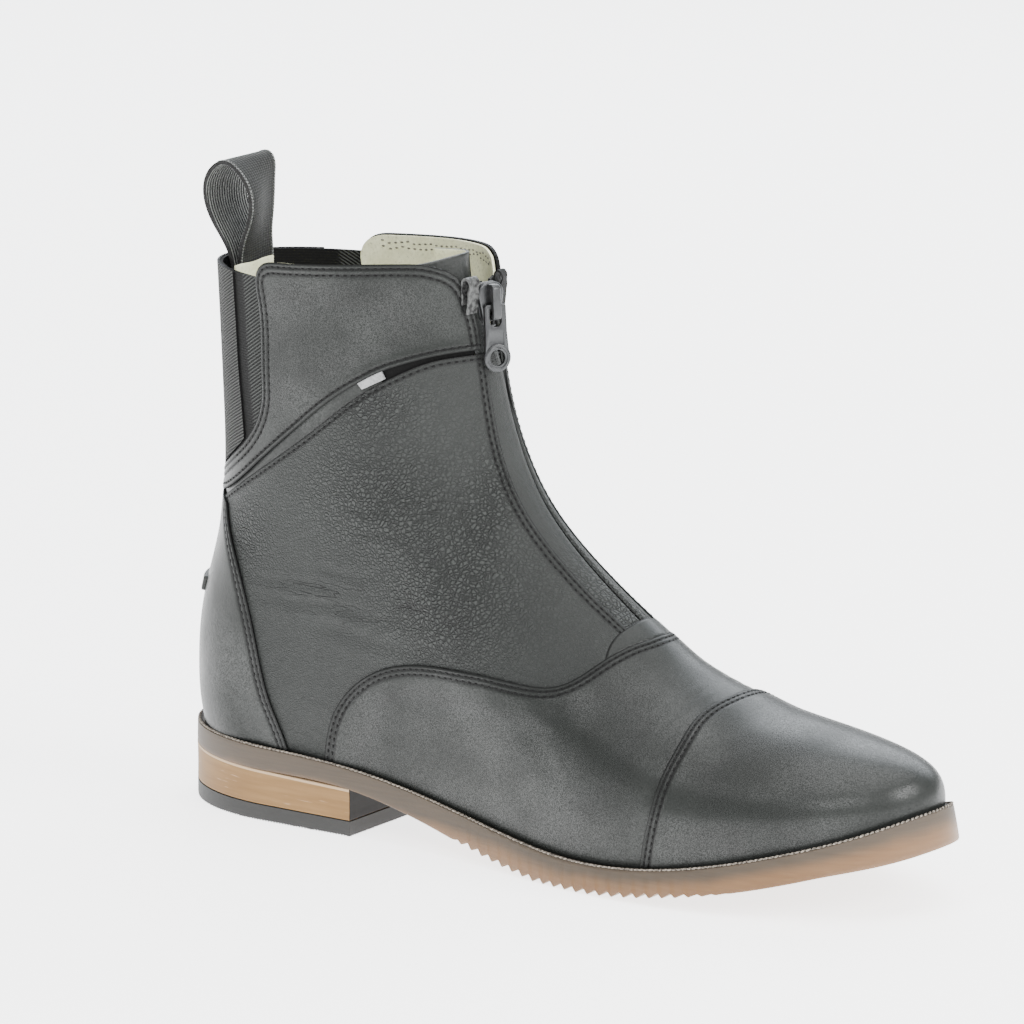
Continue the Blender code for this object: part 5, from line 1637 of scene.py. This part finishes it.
def layTag():
    u, v = [grid[..., None] for grid in np.meshgrid(np.linspace(0, 1, 12), np.linspace(0, 1, 8))]
    a, b, c, d = [np.array(corner) for corner in tagForm["corners"]]
    places = (1 - v) * ((1 - u) * d + u * c) + v * ((1 - u) * a + u * b)
    piece = mergeAndFace(addGrid("silverTag", skin(places, outer)))
    movePoints(piece, placesOf(piece) + outwardOf(piece) * tagForm["raise"] * mm)
    thicken(piece, tagForm["thick"], tagForm["edge"])
    made, feed, p = material("silverTag", Metallic=0.4, Specular_IOR_Level=0.5)
    weave = p.noise(1200, 2.0)
    shade = (weave * 0.5 + p.noise(220) * 0.5).ramp(0.3, 0.7)
    feed(Base_Color=shade.tint((0.15, 0.153, 0.156), (0.32, 0.325, 0.325)), Roughness=weave * 0.2 + 0.35)
    piece.data.materials.append(made)
    return piece


pocket = {"x": (90.0, 114.5), "under": 0.8, "sink": 0.85, "thick": 0.1}


def laySlit():  # the pocket behind the tag, open, with a near-black sheet in it as painted shade
    start, end = pocket["x"]
    x = start + (end - start) * np.linspace(0, 1, 60)
    high = np.interp(x, seam["swoop"][:, 0], seam["swoop"][:, 1]) + pocket["under"]
    low = np.interp(x, seam["quarterTop"][:, 0], seam["quarterTop"][:, 1]) - pocket["under"]
    share = np.linspace(0, 1, 8)
    places = np.stack([np.repeat(x[:, None], len(share), 1), low[:, None] + (high - low)[:, None] * share], -1)
    halves = []
    for side in (outer, inner):
        half = mergeAndFace(addGrid("pocketHalf", skin(places, side)))
        sunk(half, pocket["sink"])
        thicken(half, pocket["thick"], edge=0.0)
        halves.append(half)
    piece = joined("pocketSlit", halves)
    piece.data.materials.append(pocketShade)
    return piece


spur = {"z": (71.5, 76.5), "half": 18.0, "stand": 2.3, "less": 0.8, "thick": 2.2, "edge": 0.5}


def laySpurRest():  # a ledge round the back of the heel, lower towards its ends
    z, y = np.linspace(*spur["z"], 9)[:, None], spur["half"] * np.linspace(0, 1, 22)[None]
    halves = [skin(besideBack(z, y, side), side) for side in (outer, inner)]
    piece = mergeAndFace(addGrid("spurRest", joinHalves(*halves)))
    places = toTables(placesOf(piece))
    stand = spur["stand"] - spur["less"] * (places[:, 1] / spur["half"]) ** 2
    movePoints(piece, toWorld(places) + outwardOf(piece) * stand[:, None] * mm)
    thicken(piece, spur["thick"], spur["edge"])
    piece.data.materials.append(leather)
    return piece


def sewLining(name, sheet, side):  # two rows of stitches that show inside the collar
    tree, full = outsides["collar"], treeOf(sheet)
    places, along, out = [], [], []
    for distance in thread["lining"]:
        row = besideEdge(onSkin(seam["notch"], side)[lining["notchEnd"]:], tree, inside("collar", side), distance)
        spots, ahead = stitchSpots(row, 1.5, 1.0)
        _, normals = snap(tree, spots)
        deep, _ = snap(full, spots - normals * 4.5)
        places.append(deep)
        along.append(unit(ahead - spots))
        out.append(-normals)
    piece = beads(name, np.concatenate(places), np.concatenate(along), np.concatenate(out), (0.7, 0.36, 0.24))
    piece.data.materials.append(liningThread)
    return piece


liningThread = plainCloth("liningThread", (0.10, 0.10, 0.08), (0.26, 0.255, 0.21))
# the near-black sheet inside the pocket's opening is painted shade
pocketShade = plainCloth("pocketPaintedShade", (0.0008, 0.0008, 0.0008), (0.002, 0.002, 0.002), 0.85)
tag, slit, spurRest = layTag(), laySlit(), laySpurRest()
keep(tag)
keep(slit)
keep(spurRest, "spur_rest")
for name, piece, side in (("liningStitchesOuter", linings[1], outer), ("liningStitchesInner", linings[3], inner)):
    keep(sewLining(name, piece, side))
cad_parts["insole"].data.materials.clear()
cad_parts["insole"].data.materials.append(cream)
print("small parts done")

# Camera at the photo's angle
view = {"azimuth": 35.0, "elevation": 13.0, "distance": 2.2921, "target": (0.0834, 0.0, 0.1102), "lens": 246.1}
turn, rise = math.radians(view["azimuth"]), math.radians(view["elevation"])
away = Vector((math.sin(turn) * math.cos(rise), -math.cos(turn) * math.cos(rise), math.sin(rise)))
deselect()
bpy.ops.object.camera_add(location=Vector(view["target"]) + away * view["distance"],
                          rotation=away.to_track_quat("Z", "Y").to_euler())
camera = bpy.context.object
camera.data.lens = view["lens"]
camera.data.sensor_width = 36.0
bpy.context.scene.camera = camera

# Plain pale floor and soft studio light
bpy.ops.mesh.primitive_plane_add(size=12.0)
floor = bpy.context.object
floor.name = "studioFloor"
white, feed, p = material("paleFloor", Roughness=0.9, Specular_IOR_Level=0.1, Emission_Strength=2.9,
                           Emission_Color=(1.0, 1.0, 1.0, 1.0))
feed(Base_Color=p.noise(3.0, 2.0).tint((0.86, 0.86, 0.86), (0.88, 0.88, 0.88)))
floor.data.materials.append(white)


def softLight(name, place, size, power, target=(0.08, 0.0, 0.1), tint=(1.0, 1.0, 1.0)):
    deselect()
    direction = Vector(target) - Vector(place)
    bpy.ops.object.light_add(type="AREA", location=place, rotation=direction.to_track_quat("-Z", "Y").to_euler())
    lamp = bpy.context.object
    lamp.name = name
    lamp.data.shape = "RECTANGLE"
    lamp.data.size, lamp.data.size_y = size
    lamp.data.energy = power
    lamp.data.color = tint


softLight("keyLight", (-0.9, -1.7, 0.4), (0.4, 0.7), 5)
softLight("highLight", (-0.1, -1.25, 1.6), (1.0, 0.7), 10)
softLight("fillLight", (1.4, -1.7, 1.5), (1.2, 1.0), 26)
softLight("topLight", (0.4, 0.05, 2.1), (2.2, 1.8), 52)
softLight("frontLight", (1.7, 0.1, 1.0), (0.9, 0.8), 32)
softLight("backLight", (-0.5, 1.7, 1.3), (3.0, 1.2), 70, tint=(0.90, 0.95, 1.0))
world = bpy.data.worlds.new("studio")
world.use_nodes = True
world.node_tree.nodes["Background"].inputs["Color"].default_value = (1.0, 1.0, 1.0, 1.0)
world.node_tree.nodes["Background"].inputs["Strength"].default_value = 0.35
bpy.context.scene.world = world
